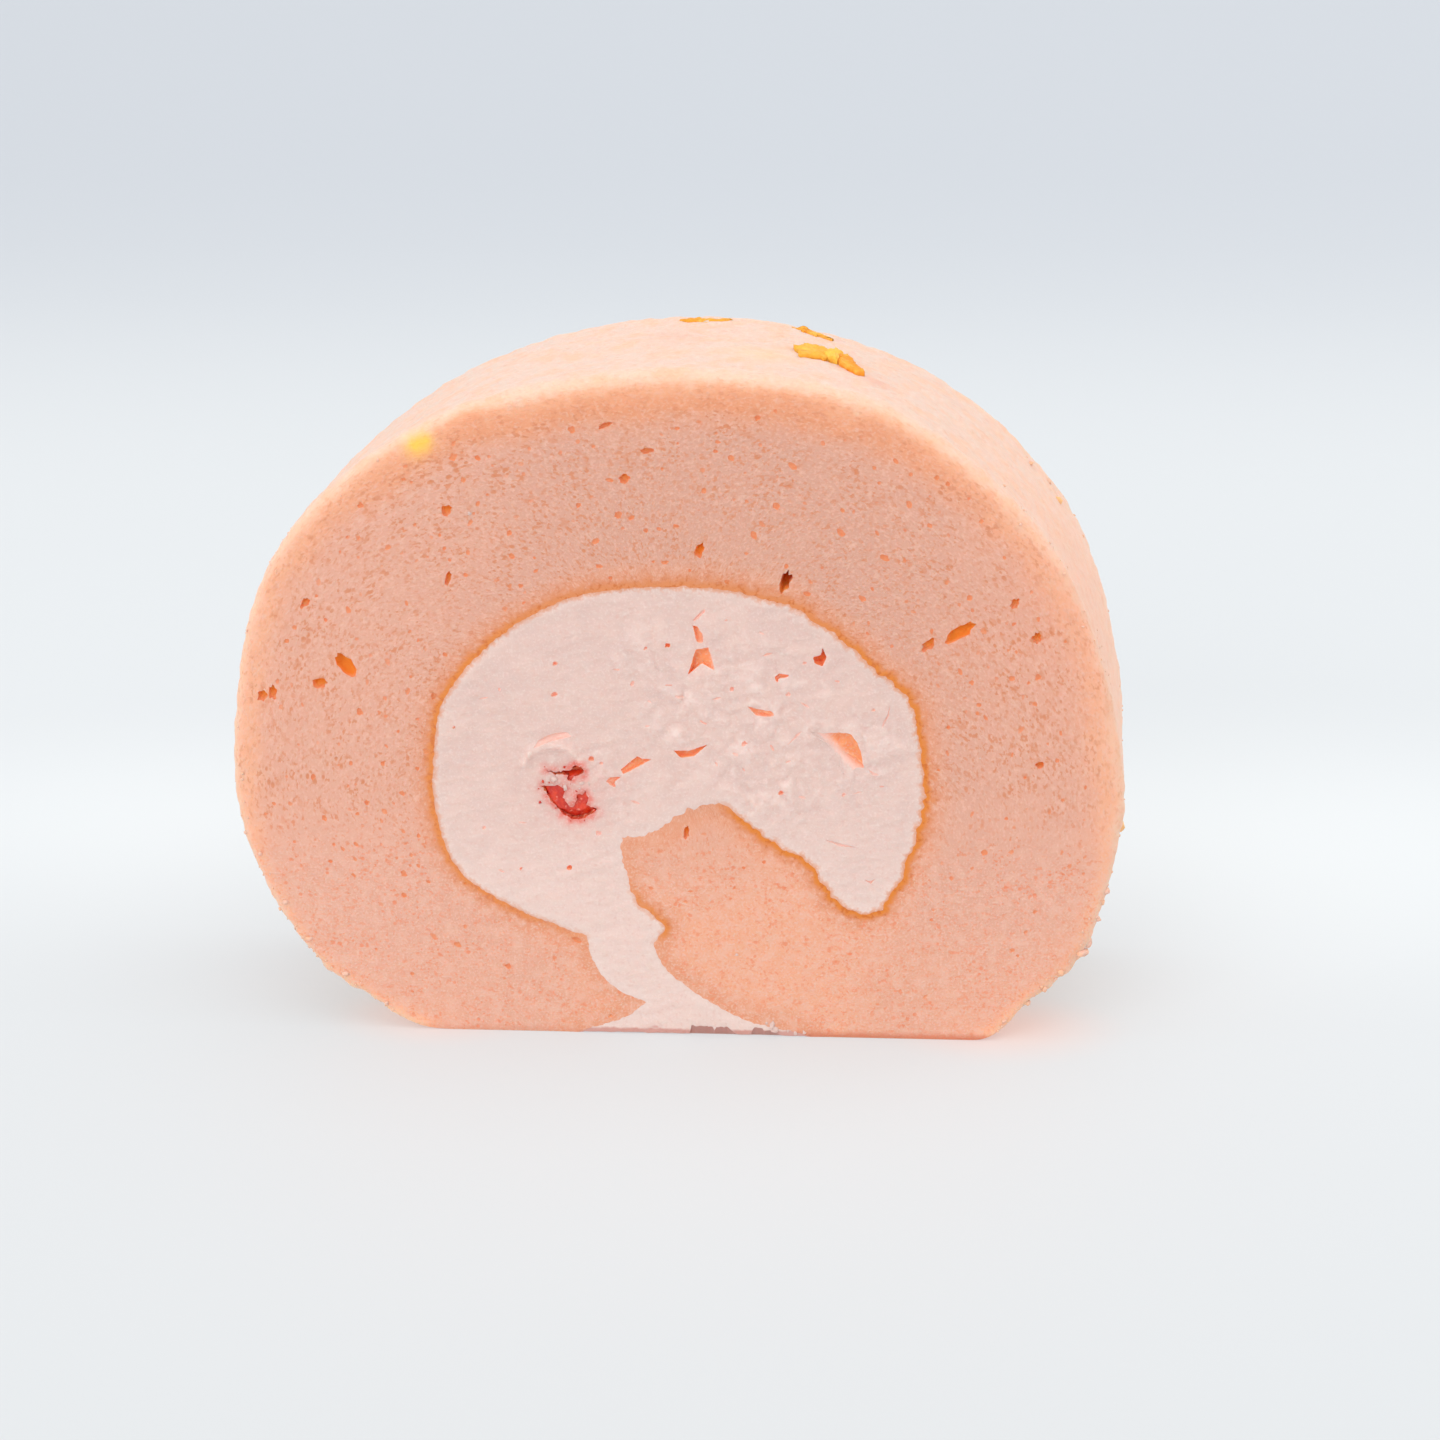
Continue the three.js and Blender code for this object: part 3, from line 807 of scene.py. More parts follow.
def cracks(others, rng):
    """Short shallow cracks, most of them where the cream is curdled."""
    loop = WALL[:, :2]
    taken = Taken([pit.middle for pit in others], [pit.reach for pit in others])
    spots = rng.uniform(loop.min(0), loop.max(0), (CRACK_TRIES, 2))
    to_wall, _ = distance_to(spots, FINE_WALL)
    likely = rng.uniform(0, 1, len(spots)) < 0.12 + 0.6 * curdled(spots)
    spots = spots[inside(spots, loop) & (to_wall > 1.4) & likely & (spots[:, 1] > 3)]
    made = []
    for spot in spots:
        length = rng.uniform(0.4, 1.1)
        if taken.gap(spot) < length / 2 + 0.35:
            continue
        turn = SMEAR_TURN + rng.uniform(-50, 50)
        rim = ragged_oval(spot, length, 0.18 + 0.15 * rng.uniform(), turn, 8, 0.3, rng)
        made.append(Pit(rim, rng.uniform(0.06, 0.16)))
        taken.add(spot, length / 2)
        if len(made) == CRACKS:
            break
    return made


def cream_pits(windows, rng):
    """The tears, holes and cracks of one cut; windows are open over the strawberry."""
    pits = list(windows)
    for corners, depth, *falls in TEARS:
        rim = torn_outline(corners, 0.03, TEAR_STEP, rng)
        pits.append(Pit(rim, depth, 0.72, 3, *falls))
    for x, z, width, depth in CREAM_HOLES:
        pits.append(Pit(ragged_oval((x, z), width, 0.8 * width, 40, 8, 0.25, rng), depth))
    return pits + cracks(pits, rng)


# Torn from, to, height, and how long the slope down to the right is.
FOOT_NOTCHES = [
    (1.4, 4.2, 1.0, 0.4), (3.9, 6.8, 0.95, 2), (7.9, 9.4, 1.1, 0.5), (9, 11.4, 0.6, 1.6),
]
NOTCH_DEPTH = 0.25
FRONT_CREAM_STEP = 0.29
BACK_CREAM_STEP = 0.45
ROWS_BY_SPONGE = (0.3, 0.6)
WINDOW_DEPTH = 0.9
STAIN_REACH = 3.4   # how far the fruit's juice goes into the cream
TORN_REACH = 0.5    # how far it goes from the torn rims


def notch_lift(foot):
    """How far the cream's foot is torn upwards at the cuts, never up to the sheet."""
    lift = 0.08 + 0.08 * noise(foot, 0.9, 91)
    uneven = 1 + 0.25 * noise(foot, 0.9, 94) + 0.25 * noise(foot, 0.4, 96)
    for start, stop, height, slope in FOOT_NOTCHES:
        bite = ramp(foot[:, 0], start, start + 0.25) * ramp(foot[:, 0], stop, stop - slope)
        lift = np.maximum(lift, height * bite * uneven)
    to_sheet, _ = distance_to(foot, FINE_WALL)
    return np.clip(lift, 0, np.maximum(0.75 * to_sheet - 0.08, 0))


def make_cream(material):
    rng = np.random.default_rng(23)
    foot = resample(np.vstack([CURL_FOOT, LAP_FOOT]), 0.2)
    radius = FOOT_EDGE * (0.15 + 0.85 * ramp(from_ends(foot), 0, 2))
    lift = notch_lift(foot)

    def push(_, y):
        return -lift * ramp(y, NOTCH_DEPTH - HALF, 0.4 * NOTCH_DEPTH - HALF)

    slab = Slab(foot, WALL[:, :2], radius, push, at_edge=1)
    beside = rows_beside(WALL, ROWS_BY_SPONGE)
    rims = [torn_outline(corners, 0.09, TEAR_STEP, rng) for corners in FRUIT_WINDOWS]
    windows = [Pit(rim, WINDOW_DEPTH, floor=0.95) for rim in rims]
    slab.add_cut(-1, cream_pits(windows, rng), FRONT_CREAM_STEP, cream_relief, beside, rng)
    slab.add_cut(1, cream_pits([], rng), BACK_CREAM_STEP, cream_relief, beside, rng)
    xyz, faces, pit = slab.finished()
    flat = xyz[:, [0, 2]]
    to_wall, nearest = distance_to(flat, FINE_WALL)
    fruit = away(flat, STRAWBERRY["at"]) + 1.2 * noise(flat, 1.5, 93)
    torn, _ = distance_to(flat, np.vstack([resample(rim, 0.1) for rim in rims]))
    stain = 0.3 * bell(fruit, STAIN_REACH) + bell(torn, TORN_REACH)
    stain *= ramp(xyz[:, 1], 0, -HALF) * (0.8 + 0.9 * noise(flat, 0.7, 95))
    # Painted shade in the notches under the cream's torn foot.
    under = ramp(flat[:, 1], 1.8, 1.3) * ramp(np.abs(xyz[:, 1]), HALF - 0.02, HALF - 0.07)
    piece = to_object("cream_filling", xyz, faces, material, {
        "filling": (pit, to_wall, np.clip(stain, 0, 1)),
        "touching": (FINE_WALL[nearest, 2], cream_clumps(flat), curdled(flat)),
        "under": (under, 0, 0),
    }, slab.creases)
    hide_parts("cream")


# ---- strawberry, flakes and crumbs ----

def blob(subdivisions):
    """Unit sphere points and triangles."""
    ball = bmesh.new()
    bmesh.ops.create_icosphere(ball, subdivisions=subdivisions, radius=1)
    points = np.array([v.co[:] for v in ball.verts])
    triangles = np.array([[v.index for v in f.verts] for f in ball.faces])
    ball.free()
    return points, triangles


def lumps(places, rng):
    """Small rough lumps at places of x, y, z and width: points, and triangles."""
    points, triangles = blob(2)
    xyz, faces = [], []
    for k, (x, y, z, width) in enumerate(places):
        rough = points * (1 + 0.5 * noise(points + 5 * k, 0.8, 131))[:, None]
        xyz.append(rough * rng.uniform(0.5, 1, 3) * width / 2 + (x, y, z))
        faces += (triangles + k * len(points)).tolist()
    return np.vstack(xyz), faces


# Shreds of the fruit that stick to the cream round it: across, up, width.
FRUIT_SHREDS = [
    (-10.7, 28.6, 0.5), (-10.3, 28.1, 0.35), (-9.7, 27.3, 0.45), (-13.1, 28.3, 0.4),
    (-8.5, 26.9, 0.4), (-12.5, 28.2, 0.3), (-8, 25.2, 0.4), (-13.5, 26, 0.35), (-9.5, 30, 0.35),
    (-8.6, 30.3, 0.3), (-11.9, 25.4, 0.3), (-7.5, 25.8, 0.35), (-13.6, 27.5, 0.25),
    (-12.9, 29.9, 0.25), (-10.9, 29.9, 0.3), (-9, 24.1, 0.3), (-10.4, 24, 0.25),
]


def make_strawberry(material):
    """A bumpy chunk cut off flat just behind the cream's face, with torn shreds beside it."""
    points, triangles = blob(5)
    length, height, deep = STRAWBERRY["size"]
    bumps = noise_sum(points, 101, (1, 0.5), (0.5, 0.25), (0.25, 0.125))
    bumpy = points * (1 + 0.08 * bumps)[:, None]
    flat = turned(bumpy[:, [0, 2]] * (length / 2, height / 2), STRAWBERRY["turn"])
    flat += STRAWBERRY["at"]
    y = bumpy[:, 1] * deep / 2 - HALF + STRAWBERRY["behind"]
    face = -HALF + 0.12 + 0.1 * noise(flat, 0.7, 102)
    y = np.maximum(y, face)
    chunk = np.column_stack([flat[:, 0], y, flat[:, 1]])
    rng = np.random.default_rng(43)
    shreds, torn = lumps([(x, -HALF, z, width) for x, z, width in FRUIT_SHREDS], rng)
    faces = triangles.tolist() + (np.array(torn) + len(chunk)).tolist()
    piece = to_object("strawberry_bit", np.vstack([chunk, shreds]), faces, material)
    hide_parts("strawberry_piece")


def crown_height(x):
    crown = RIM[RIM[:, 1] > HEIGHT / 2]
    return np.interp(x, crown[:, 0], crown[:, 1])


FLAKE_RINGS = 8


def make_flakes(material):
    """Thin ragged flakes of browned skin that stick to the crown, their rims curled up."""
    rng = np.random.default_rng(29)
    shares = np.arange(1, FLAKE_RINGS + 1) / FLAKE_RINGS
    xyz, faces, tones = [], [], []
    start = 0
    for k, (dark, thickness, corners) in enumerate(FLAKES):
        edge = torn_outline(corners, 0.1, 0.2, rng)
        around = len(edge)
        middle = edge.mean(axis=0)
        flat = np.vstack([middle + (edge - middle) * share for share in shares] + [middle])
        share = np.append(np.repeat(shares, around), 0)
        skin = crown_height(flat[:, 0])
        curl = 0.25 * share ** 4 * (0.5 + noise(flat, 1.4, 113 + k))
        top = skin + thickness * (0.75 - 0.4 * share ** 4) + curl
        top += noise_sum(flat, 120, (0.16, 0.9), (0.08, 0.45))
        under = np.minimum(skin - 0.25, top - 0.15)
        count = len(flat)
        xyz += [np.column_stack([flat, top]), np.column_stack([flat, under])]
        tones.append(np.full(2 * count, dark))
        i, j = np.arange(around), np.roll(np.arange(around), -1)
        for ring in range(len(shares) - 1):
            at = start + ring * around
            quads = np.column_stack([i, i + around, j + around, j]) + at
            faces += quads.tolist() + (quads[:, ::-1] + count).tolist()
        fan = np.column_stack([np.full(around, count - 1), i, j]) + start
        faces += fan.tolist() + (fan[:, ::-1] + count).tolist()
        at = start + (len(shares) - 1) * around
        faces += (np.column_stack([i, i + count, j + count, j]) + at).tolist()
        start += 2 * count
    tone = np.concatenate(tones)
    to_object("skin_flakes", np.vstack(xyz), faces, material,
              {"tone": (tone, 0, 0)})


# Crumbs on the skin: across, along, up, width, tone.
SKIN_CRUMBS = [
    (45.3, -9.5, 23.2, 1.5, 0.5), (41.5, -11, 10, 1.6, 0.1), (42, -10.5, 11, 1.3, 0.2),
    (37.8, 7, 52.8, 1.2, 0.5), (36.6, 9, 54.4, 0.8, 0.3), (34.8, 8, 56.6, 0.8, 0.1),
    (44.6, -11.4, 17, 0.9, 0.1), (43.6, -11.5, 14, 0.8, 0.3), (40, -11.6, 8, 1.1, 0.1),
    (38.2, -11.4, 6, 0.9, 0.3), (36.4, -11.6, 4.2, 1, 0.1), (34.2, -11.5, 2.4, 0.8, 0.3),
    (44.2, -11.6, 15.5, 0.7, 0.3), (-40.5, -11.6, 14.5, 0.7, 0.3), (-38, -11.6, 10.5, 0.8, 0.1),
    (-34.4, -11.6, 6.6, 0.8, 0.3), (-30.2, -11.6, 3, 0.7, 0.1), (-42.6, -11.6, 20, 0.6, 0.2),
]
# Crumbs and specks of cream on the front cut: across, up, width.
CUT_CRUMBS = [
    (6.4, 9.3, 0.5), (3.8, 15.4, 0.3), (-19.5, 56.5, 0.4), (31, 31.5, 0.3), (10.3, 0.8, 0.9),
    (12.5, 0.4, 0.7), (11.7, 0.6, 0.5), (10.1, 1.3, 1.0), (9.5, 1.5, 0.6), (13.4, 0.5, 0.5),
    (-10.2, 26.9, 0.8), (-10.9, 27.7, 0.9), (-8.4, 28.1, 0.9), (-12, 28.6, 0.8), (-9.2, 28.2, 0.7),
    (-12.9, 28.8, 0.5), (-7.9, 27.4, 0.6), (-11.5, 28.2, 0.5), (-9.4, 27.6, 0.5), (-7.6, 28.6, 0.6),
]
FINE_CRUMBS = 340
FINE_CRUMB_WIDTH = (0.15, 0.45)


def make_crumbs(material, skin):
    """Small rough lumps, most of them near the skin's edges; skin has points on it."""
    rng = np.random.default_rng(37)
    spots = np.array(SKIN_CRUMBS)
    nearest = [np.linalg.norm(skin - spot[:3], axis=1).argmin() for spot in spots]
    places = [(*skin[k], *spot[3:]) for k, spot in zip(nearest, spots)]
    places += [(x, 0.08 - HALF, z, width, 1) for x, z, width in CUT_CRUMBS]
    likely = np.exp((np.abs(skin[:, 1]) - HALF) / 3) * (
        0.4 + ramp(skin[:, 2], 24, 12)) * ramp(skin[:, 2], 66, 50) * (skin[:, 2] > 1)
    picks = rng.choice(len(skin), FINE_CRUMBS, p=likely / likely.sum())
    widths = rng.uniform(*FINE_CRUMB_WIDTH, FINE_CRUMBS)
    places += [(*skin[k], width, 0.3 * rng.uniform()) for k, width in zip(picks, widths)]
    xyz, faces = lumps([place[:4] for place in places], rng)
    tone = np.repeat([place[4] for place in places], len(xyz) // len(places))
    to_object("loose_crumbs", xyz, faces, material, {"tone": (tone, 0, 0)})


# ---- materials ----

def colour(red, green, blue):
    """A linear colour from its 0-255 screen values."""
    parts = np.array([red, green, blue]) / 255
    linear = np.where(parts > 0.04045, ((parts + 0.055) / 1.055) ** 2.4, parts / 12.92)
    return (*linear.tolist(), 1)


class Look:
    """One node material. Most methods add a node and return its output socket."""

    MIX_SOCKETS = {"FLOAT": (2, 0), "RGBA": (6, 2)}   # first value's input, and the output

    def __init__(self, name):
        self.material = bpy.data.materials.new(name)
        self.material.use_nodes = True
        self.tree = self.material.node_tree
        self.shader = self.tree.nodes["Principled BSDF"]
        self.mm = self.scaled(self.node("ShaderNodeTexCoord").outputs["Object"], 1 / MM)

    def node(self, kind, *values, **settings):
        """A new node with its settings, and its first inputs fed."""
        made = self.tree.nodes.new(kind)
        for name, value in settings.items():
            setattr(made, name, value)
        for socket, value in zip(made.inputs, values):
            self.feed(socket, value)
        return made

    def feed(self, socket, value):
        if isinstance(value, bpy.types.NodeSocket):
            self.tree.links.new(value, socket)
        else:
            socket.default_value = value

    def set(self, **values):
        """Sets the shader's sockets, named with _ for spaces."""
        for name, value in values.items():
            self.feed(self.shader.inputs[name.replace("_", " ")], value)

    def soften(self, share, depth, red, green, blue):
        """Light scattered under the surface: its share, depth in metres, and reach by colour."""
        self.set(Subsurface_Weight=share, Subsurface_Scale=depth,
                 Subsurface_Radius=(red, green, blue))

    def scaled(self, vector, factor):
        factors = (factor,) * 3 if np.isscalar(factor) else factor
        return self.node("ShaderNodeVectorMath", vector, factors, operation="MULTIPLY").outputs[0]

    def part(self, vector, axis):
        return self.node("ShaderNodeSeparateXYZ", vector).outputs[axis]

    def field(self, name):
        """The three values that to_object stored under a name."""
        return self.node("ShaderNodeSeparateXYZ", self.vector(name)).outputs[:]

    def vector(self, name):
        """The same three values as one vector."""
        return self.node("ShaderNodeAttribute", attribute_name=name).outputs["Vector"]

    def calc(self, operation, *values):
        return self.node("ShaderNodeMath", *values, operation=operation).outputs[0]

    def times(self, a, b):
        return self.calc("MULTIPLY", a, b)

    def ramp(self, value, low, high, to_low=0.0, to_high=1.0):
        """Smooth step of a value from low to high."""
        return self.node("ShaderNodeMapRange", value, low, high, to_low, to_high,
                         interpolation_type="SMOOTHSTEP").outputs[0]

    def between(self, kind, share, a, b):
        first, result = self.MIX_SOCKETS[kind]
        made = self.node("ShaderNodeMix", share, data_type=kind)
        self.feed(made.inputs[first], a)
        self.feed(made.inputs[first + 1], b)
        return made.outputs[result]

    def blend(self, share, a, b):
        """A number between two."""
        return self.between("FLOAT", share, a, b)

    def mix(self, share, a, b):
        """A colour between two."""
        return self.between("RGBA", share, a, b)

    def paint(self, base, *coats):
        """A base colour under coats, which are (share, colour) pairs in order."""
        for share, tint in coats:
            base = self.mix(share, base, tint)
        return base

    def noise(self, size, detail=2.0, stretch=1.0, at=None):
        """Noise of about 0.5 on average, with lumps of `size` millimetres."""
        moved = self.scaled(at or self.mm, stretch)
        return self.node("ShaderNodeTexNoise", moved, 0.0, 1 / size, detail).outputs[0]

    def wave(self, size, detail, reach):
        """Noise from about -reach to reach."""
        return self.calc("MULTIPLY_ADD", self.noise(size, detail), 2 * reach, -reach)

    def patches(self, size, detail, low, high, most=1.0):
        """Patches of noise between two of its levels, from 0 to `most`."""
        return self.ramp(self.noise(size, detail), low, high, 0.0, most)

    def pores(self, spacing, widest, at=None):
        """Dots of mixed width on a scatter of cells: 1 in a dot, 0 between."""
        cells = self.node("ShaderNodeTexVoronoi", at or self.mm)
        cells.inputs["Scale"].default_value = 1 / spacing
        random = self.node("ShaderNodeSeparateColor", cells.outputs["Color"]).outputs[0]
        reach = self.times(self.calc("POWER", random, 1.5), widest)
        return self.ramp(cells.outputs["Distance"], reach, self.times(reach, 0.5))

    def bands(self, value, stops):
        """A colour that changes with a value; stops are (value, colour) pairs in order."""
        low, high = stops[0][0], stops[-1][0]
        share = self.calc("DIVIDE", self.calc("SUBTRACT", value, low), high - low)
        made = self.node("ShaderNodeValToRGB", share)
        elements = made.color_ramp.elements
        for at, _ in stops[1:-1]:
            elements.new((at - low) / (high - low))
        for element, (_, tint) in zip(elements, stops):
            element.color = colour(*tint)
        return made.outputs[0]

    def bump(self, height, strength=1.0):
        """Sets the shader's normal from a height in millimetres."""
        made = self.node("ShaderNodeBump")
        made.inputs["Strength"].default_value = strength
        made.inputs["Distance"].default_value = MM
        self.feed(made.inputs["Height"], height)
        self.set(Normal=made.outputs[0])


CRUMB = colour(215, 163, 143)
CRUMB_PALE = colour(234, 188, 168)
CRUMB_WARM = colour(235, 171, 140)
CRUMB_FLANK = colour(226, 170, 148)
CRUMB_BESIDE = colour(221, 150, 117)
FOOT_SHADE = colour(210, 124, 92)
# Colour of the crumb's specks, also painted shade in its tiny pores.
SPECK = colour(214, 138, 100)
SPECK_LOW = colour(232, 136, 96)
# Painted shade in the crumb's pores, more saturated and darker the deeper they go.
PORE_SHADE = colour(234, 142, 94)
PORE_DEEP_SHADE = colour(240, 136, 46)
PORE_DEEPEST_SHADE = colour(210, 74, 8)
SKIN_PALE = colour(236, 212, 198)
SKIN_PEACH = colour(238, 184, 150)
SKIN_YELLOW = colour(255, 202, 96)
SKIN_PINK = colour(232, 160, 132)
BROWNED = colour(220, 141, 98)
BROWNED_GOLD = colour(221, 130, 56)
BROWNED_DARK = colour(204, 108, 48)
# Colours by distance past the edge between the skin and a cut, in millimetres. The crown's are
# paler than the sides': partly painted highlight where the top is brightly lit, partly a paler
# crust.
CROWN_BANDS = [
    (-3, (228, 192, 172)), (0, (234, 197, 172)), (0.7, (237, 189, 160)), (1.3, (238, 177, 142)),
    (2, (235, 167, 130)), (2.6, (232, 161, 124)), (3.5, (228, 156, 118)), (5, (224, 160, 131)),
]
SIDE_BANDS = [
    (-3, (242, 190, 162)), (0, (237, 191, 163)), (1, (239, 182, 152)), (1.6, (237, 175, 142)),
    (4, (231, 171, 146)),
]
FOOT_BANDS = [
    (-1, (241, 199, 164)), (0, (242, 194, 158)), (1, (242, 183, 148)), (1.8, (240, 175, 142)),
    (3, (235, 172, 143)),
]


def with_felt(look, body, across, pink):
    """Adds the patches, felt and pink stains of the skin."""
    on_skin = look.ramp(across, 1.4, -0.6)
    mottle = look.patches(2.6, 4, 0.42, 0.68, 0.7)
    felt = look.ramp(look.noise(0.7, 4, stretch=(1, 0.6, 1)), 0.48, 0.7, 0.0, 0.24)
    return look.paint(body, (look.times(mottle, on_skin), SKIN_PEACH),
                      (look.times(felt, on_skin), SKIN_PALE), (pink, SKIN_PINK))


def with_grain(look, body, across, crown, lower):
    """Adds pale grain and dark specks to the open crumb, with painted shade in its small pores and
    pits, and gives their height.
    """
    pit, crowd, _ = look.field("crumb")
    layers = look.vector("layers")

    def drawn_out(texture, *settings):
        """A texture drawn out along the sheet above, and even below."""
        return look.blend(lower, texture(*settings, at=layers), texture(*settings))

    open_from, open_to = look.blend(crown, -1.5, 0.2), look.blend(crown, 2.0, 4.5)
    open_crumb = look.ramp(across, open_from, open_to, 0.3)
    spread = look.ramp(look.noise(2.2, 3), 0.35, 0.65, 0.35)
    crowded = look.times(look.times(spread, look.ramp(crowd, 0.0, 0.7, 0.65, 0.95)), open_crumb)
    spot = look.mix(lower, SPECK, SPECK_LOW)
    grain = drawn_out(look.noise, 0.24, 3)
    pale = look.ramp(grain, 0.48, 0.68, 0.0, look.blend(lower, 0.5, 0.8))
    specks = look.times(look.ramp(drawn_out(look.noise, 0.34, 2), 0.54, 0.64), crowded)
    blots = look.ramp(drawn_out(look.noise, 0.75, 3), 0.56, 0.68, 0.0, 0.55)
    clots = look.ramp(drawn_out(look.noise, 0.6, 4), 0.44, 0.32, 0.0, 0.4)
    patches = look.times(look.patches(1.2, 5, 0.45, 0.65, 0.45), lower)
    # Tiny pores: painted shade in the specks' colour, with a small dip in height.
    small = look.times(drawn_out(look.pores, 0.75, 0.42), crowded)
    body = look.paint(
        body, (look.times(pale, open_crumb), CRUMB_PALE), (look.times(specks, 0.9), spot),
        (look.times(blots, crowded), spot), (look.times(clots, open_crumb), CRUMB_PALE),
        (look.times(patches, open_crumb), CRUMB_PALE), (small, spot),
        # painted shade in the pores, deeper with the pit value
        (look.ramp(pit, 0.0, 0.09, 0.0, 0.85), PORE_SHADE), (look.ramp(pit, 0.2, 0.5), PORE_DEEP_SHADE),
        (look.ramp(pit, 0.8, 1.5), PORE_DEEPEST_SHADE))
    sunk = look.calc("ADD", look.times(small, 0.04), look.times(specks, 0.02))
    return body, look.calc("SUBTRACT", look.times(grain, 0.16), sunk)


def with_line_and_foot(look, body, to_wall, browned):
    """Adds the browned line round the filling and the foot's shade."""
    right, up = look.part(look.mm, 0), look.part(look.mm, 2)
    width = look.ramp(look.noise(0.8, 4), 0.3, 0.7, 0.8, 2.1)
    line = look.times(look.ramp(to_wall, width, look.times(width, 0.2)), browned)
    gold = look.ramp(look.calc("ADD", to_wall, look.noise(0.6, 3)), 1.5, 0.7)
    gold = look.times(gold, look.ramp(up, 41, 49, 1.0, 0.3))
    tan = look.paint(BROWNED, (gold, BROWNED_GOLD),
                     (look.patches(0.45, 3, 0.52, 0.66, 0.8), BROWNED_DARK))
    low = look.ramp(look.calc("ADD", up, look.wave(0.8, 3, 0.25)), 1.0, 0.1)
    shade = look.times(low, look.ramp(right, -8, 12, 0.3, 0.85))
    return look.paint(body, (line, tan), (shade, FOOT_SHADE))


def sponge_look():
    look = Look("sponge_crumb_and_skin")
    over_edge, to_wall, browned = look.field("sheet")
    pit, _, warmth = look.field("crumb")
    yellow, pink, crown = look.field("marks")
    lower, bottom, flank = look.field("lower")

    # The skin's colour by the distance past its edge, which is wider below, and the crumb's.
    across = look.calc("MULTIPLY_ADD", look.times(over_edge, lower), 0.8, over_edge)
    across = look.calc("ADD", across, look.wave(6, 2, 1.6))
    across = look.calc("ADD", across, look.wave(1.0, 4, 1.2))
    # The crown's paler bands are partly painted highlight on the brightly lit top.
    rind = look.mix(crown, look.bands(across, SIDE_BANDS), look.bands(across, CROWN_BANDS))
    rind = look.mix(bottom, rind, look.bands(across, FOOT_BANDS))
    crumb = look.paint(CRUMB, (warmth, CRUMB_WARM), (look.times(flank, 0.8), CRUMB_FLANK),
                       (look.ramp(to_wall, 3.0, 0.4, 0.0, 0.8), CRUMB_BESIDE))
    begins = look.ramp(crown, 0.0, 1.0, 1.6, 3.2)
    body = look.mix(look.ramp(across, begins, look.calc("ADD", begins, 3.2)), rind, crumb)
    body = with_felt(look, body, across, pink)
    body, grain = with_grain(look, body, across, crown, lower)
    body = with_line_and_foot(look, body, to_wall, browned)
    body = look.mix(yellow, body, SKIN_YELLOW)

    nap = look.times(look.noise(0.5, 5), 0.15)
    look.bump(look.blend(look.ramp(over_edge, -0.5, 1.5), nap, grain), 0.8)
    glow = look.calc("MAXIMUM", look.ramp(to_wall, 0.1, 1.5, 0.0, 0.4),
                     look.ramp(pit, 0.02, 0.15, 0.0, 0.7))
    look.soften(glow, 0.0012, 1.0, 0.45, 0.3)
    look.set(Base_Color=body, Roughness=0.92, Sheen_Weight=0.25, Sheen_Roughness=0.4,
             Specular_IOR_Level=0.25)
    return look.material


CREAM = colour(220, 190, 180)
CREAM_WARM = colour(224, 194, 183)
CREAM_LOW = colour(232, 206, 196)
# Whiter cream, also painted highlight on the clumps; then painted shade in the creases.
CREAM_WHITE_HIGHLIGHT = colour(240, 219, 211)
CREAM_CREASE_SHADE = colour(220, 180, 168)
# Painted shade and scattered light in the cream's tears and cracks, deeper with their depth.
CREAM_TORN_SHADE = colour(240, 196, 182)
CREAM_DEEP_SHADE = colour(252, 158, 106)
CREAM_DEEPEST_SHADE = colour(248, 112, 34)
# Painted shade along the cream's foot and in its notches.
CREAM_UNDER_SHADE = colour(206, 152, 141)
FRUIT_STAIN = colour(228, 106, 92)
FRUIT_STAIN_DEEP = colour(206, 44, 26)
FRUIT_BRIGHT = colour(226, 64, 28)
FRUIT_DARK = colour(196, 34, 14)
FRUIT_PALE = colour(238, 136, 116)
FLAKE_YELLOW = colour(248, 190, 66)
FLAKE_ORANGE = colour(244, 150, 24)
FLAKE_PALE = colour(250, 200, 90)
CRUMB_GOLD = colour(250, 196, 140)


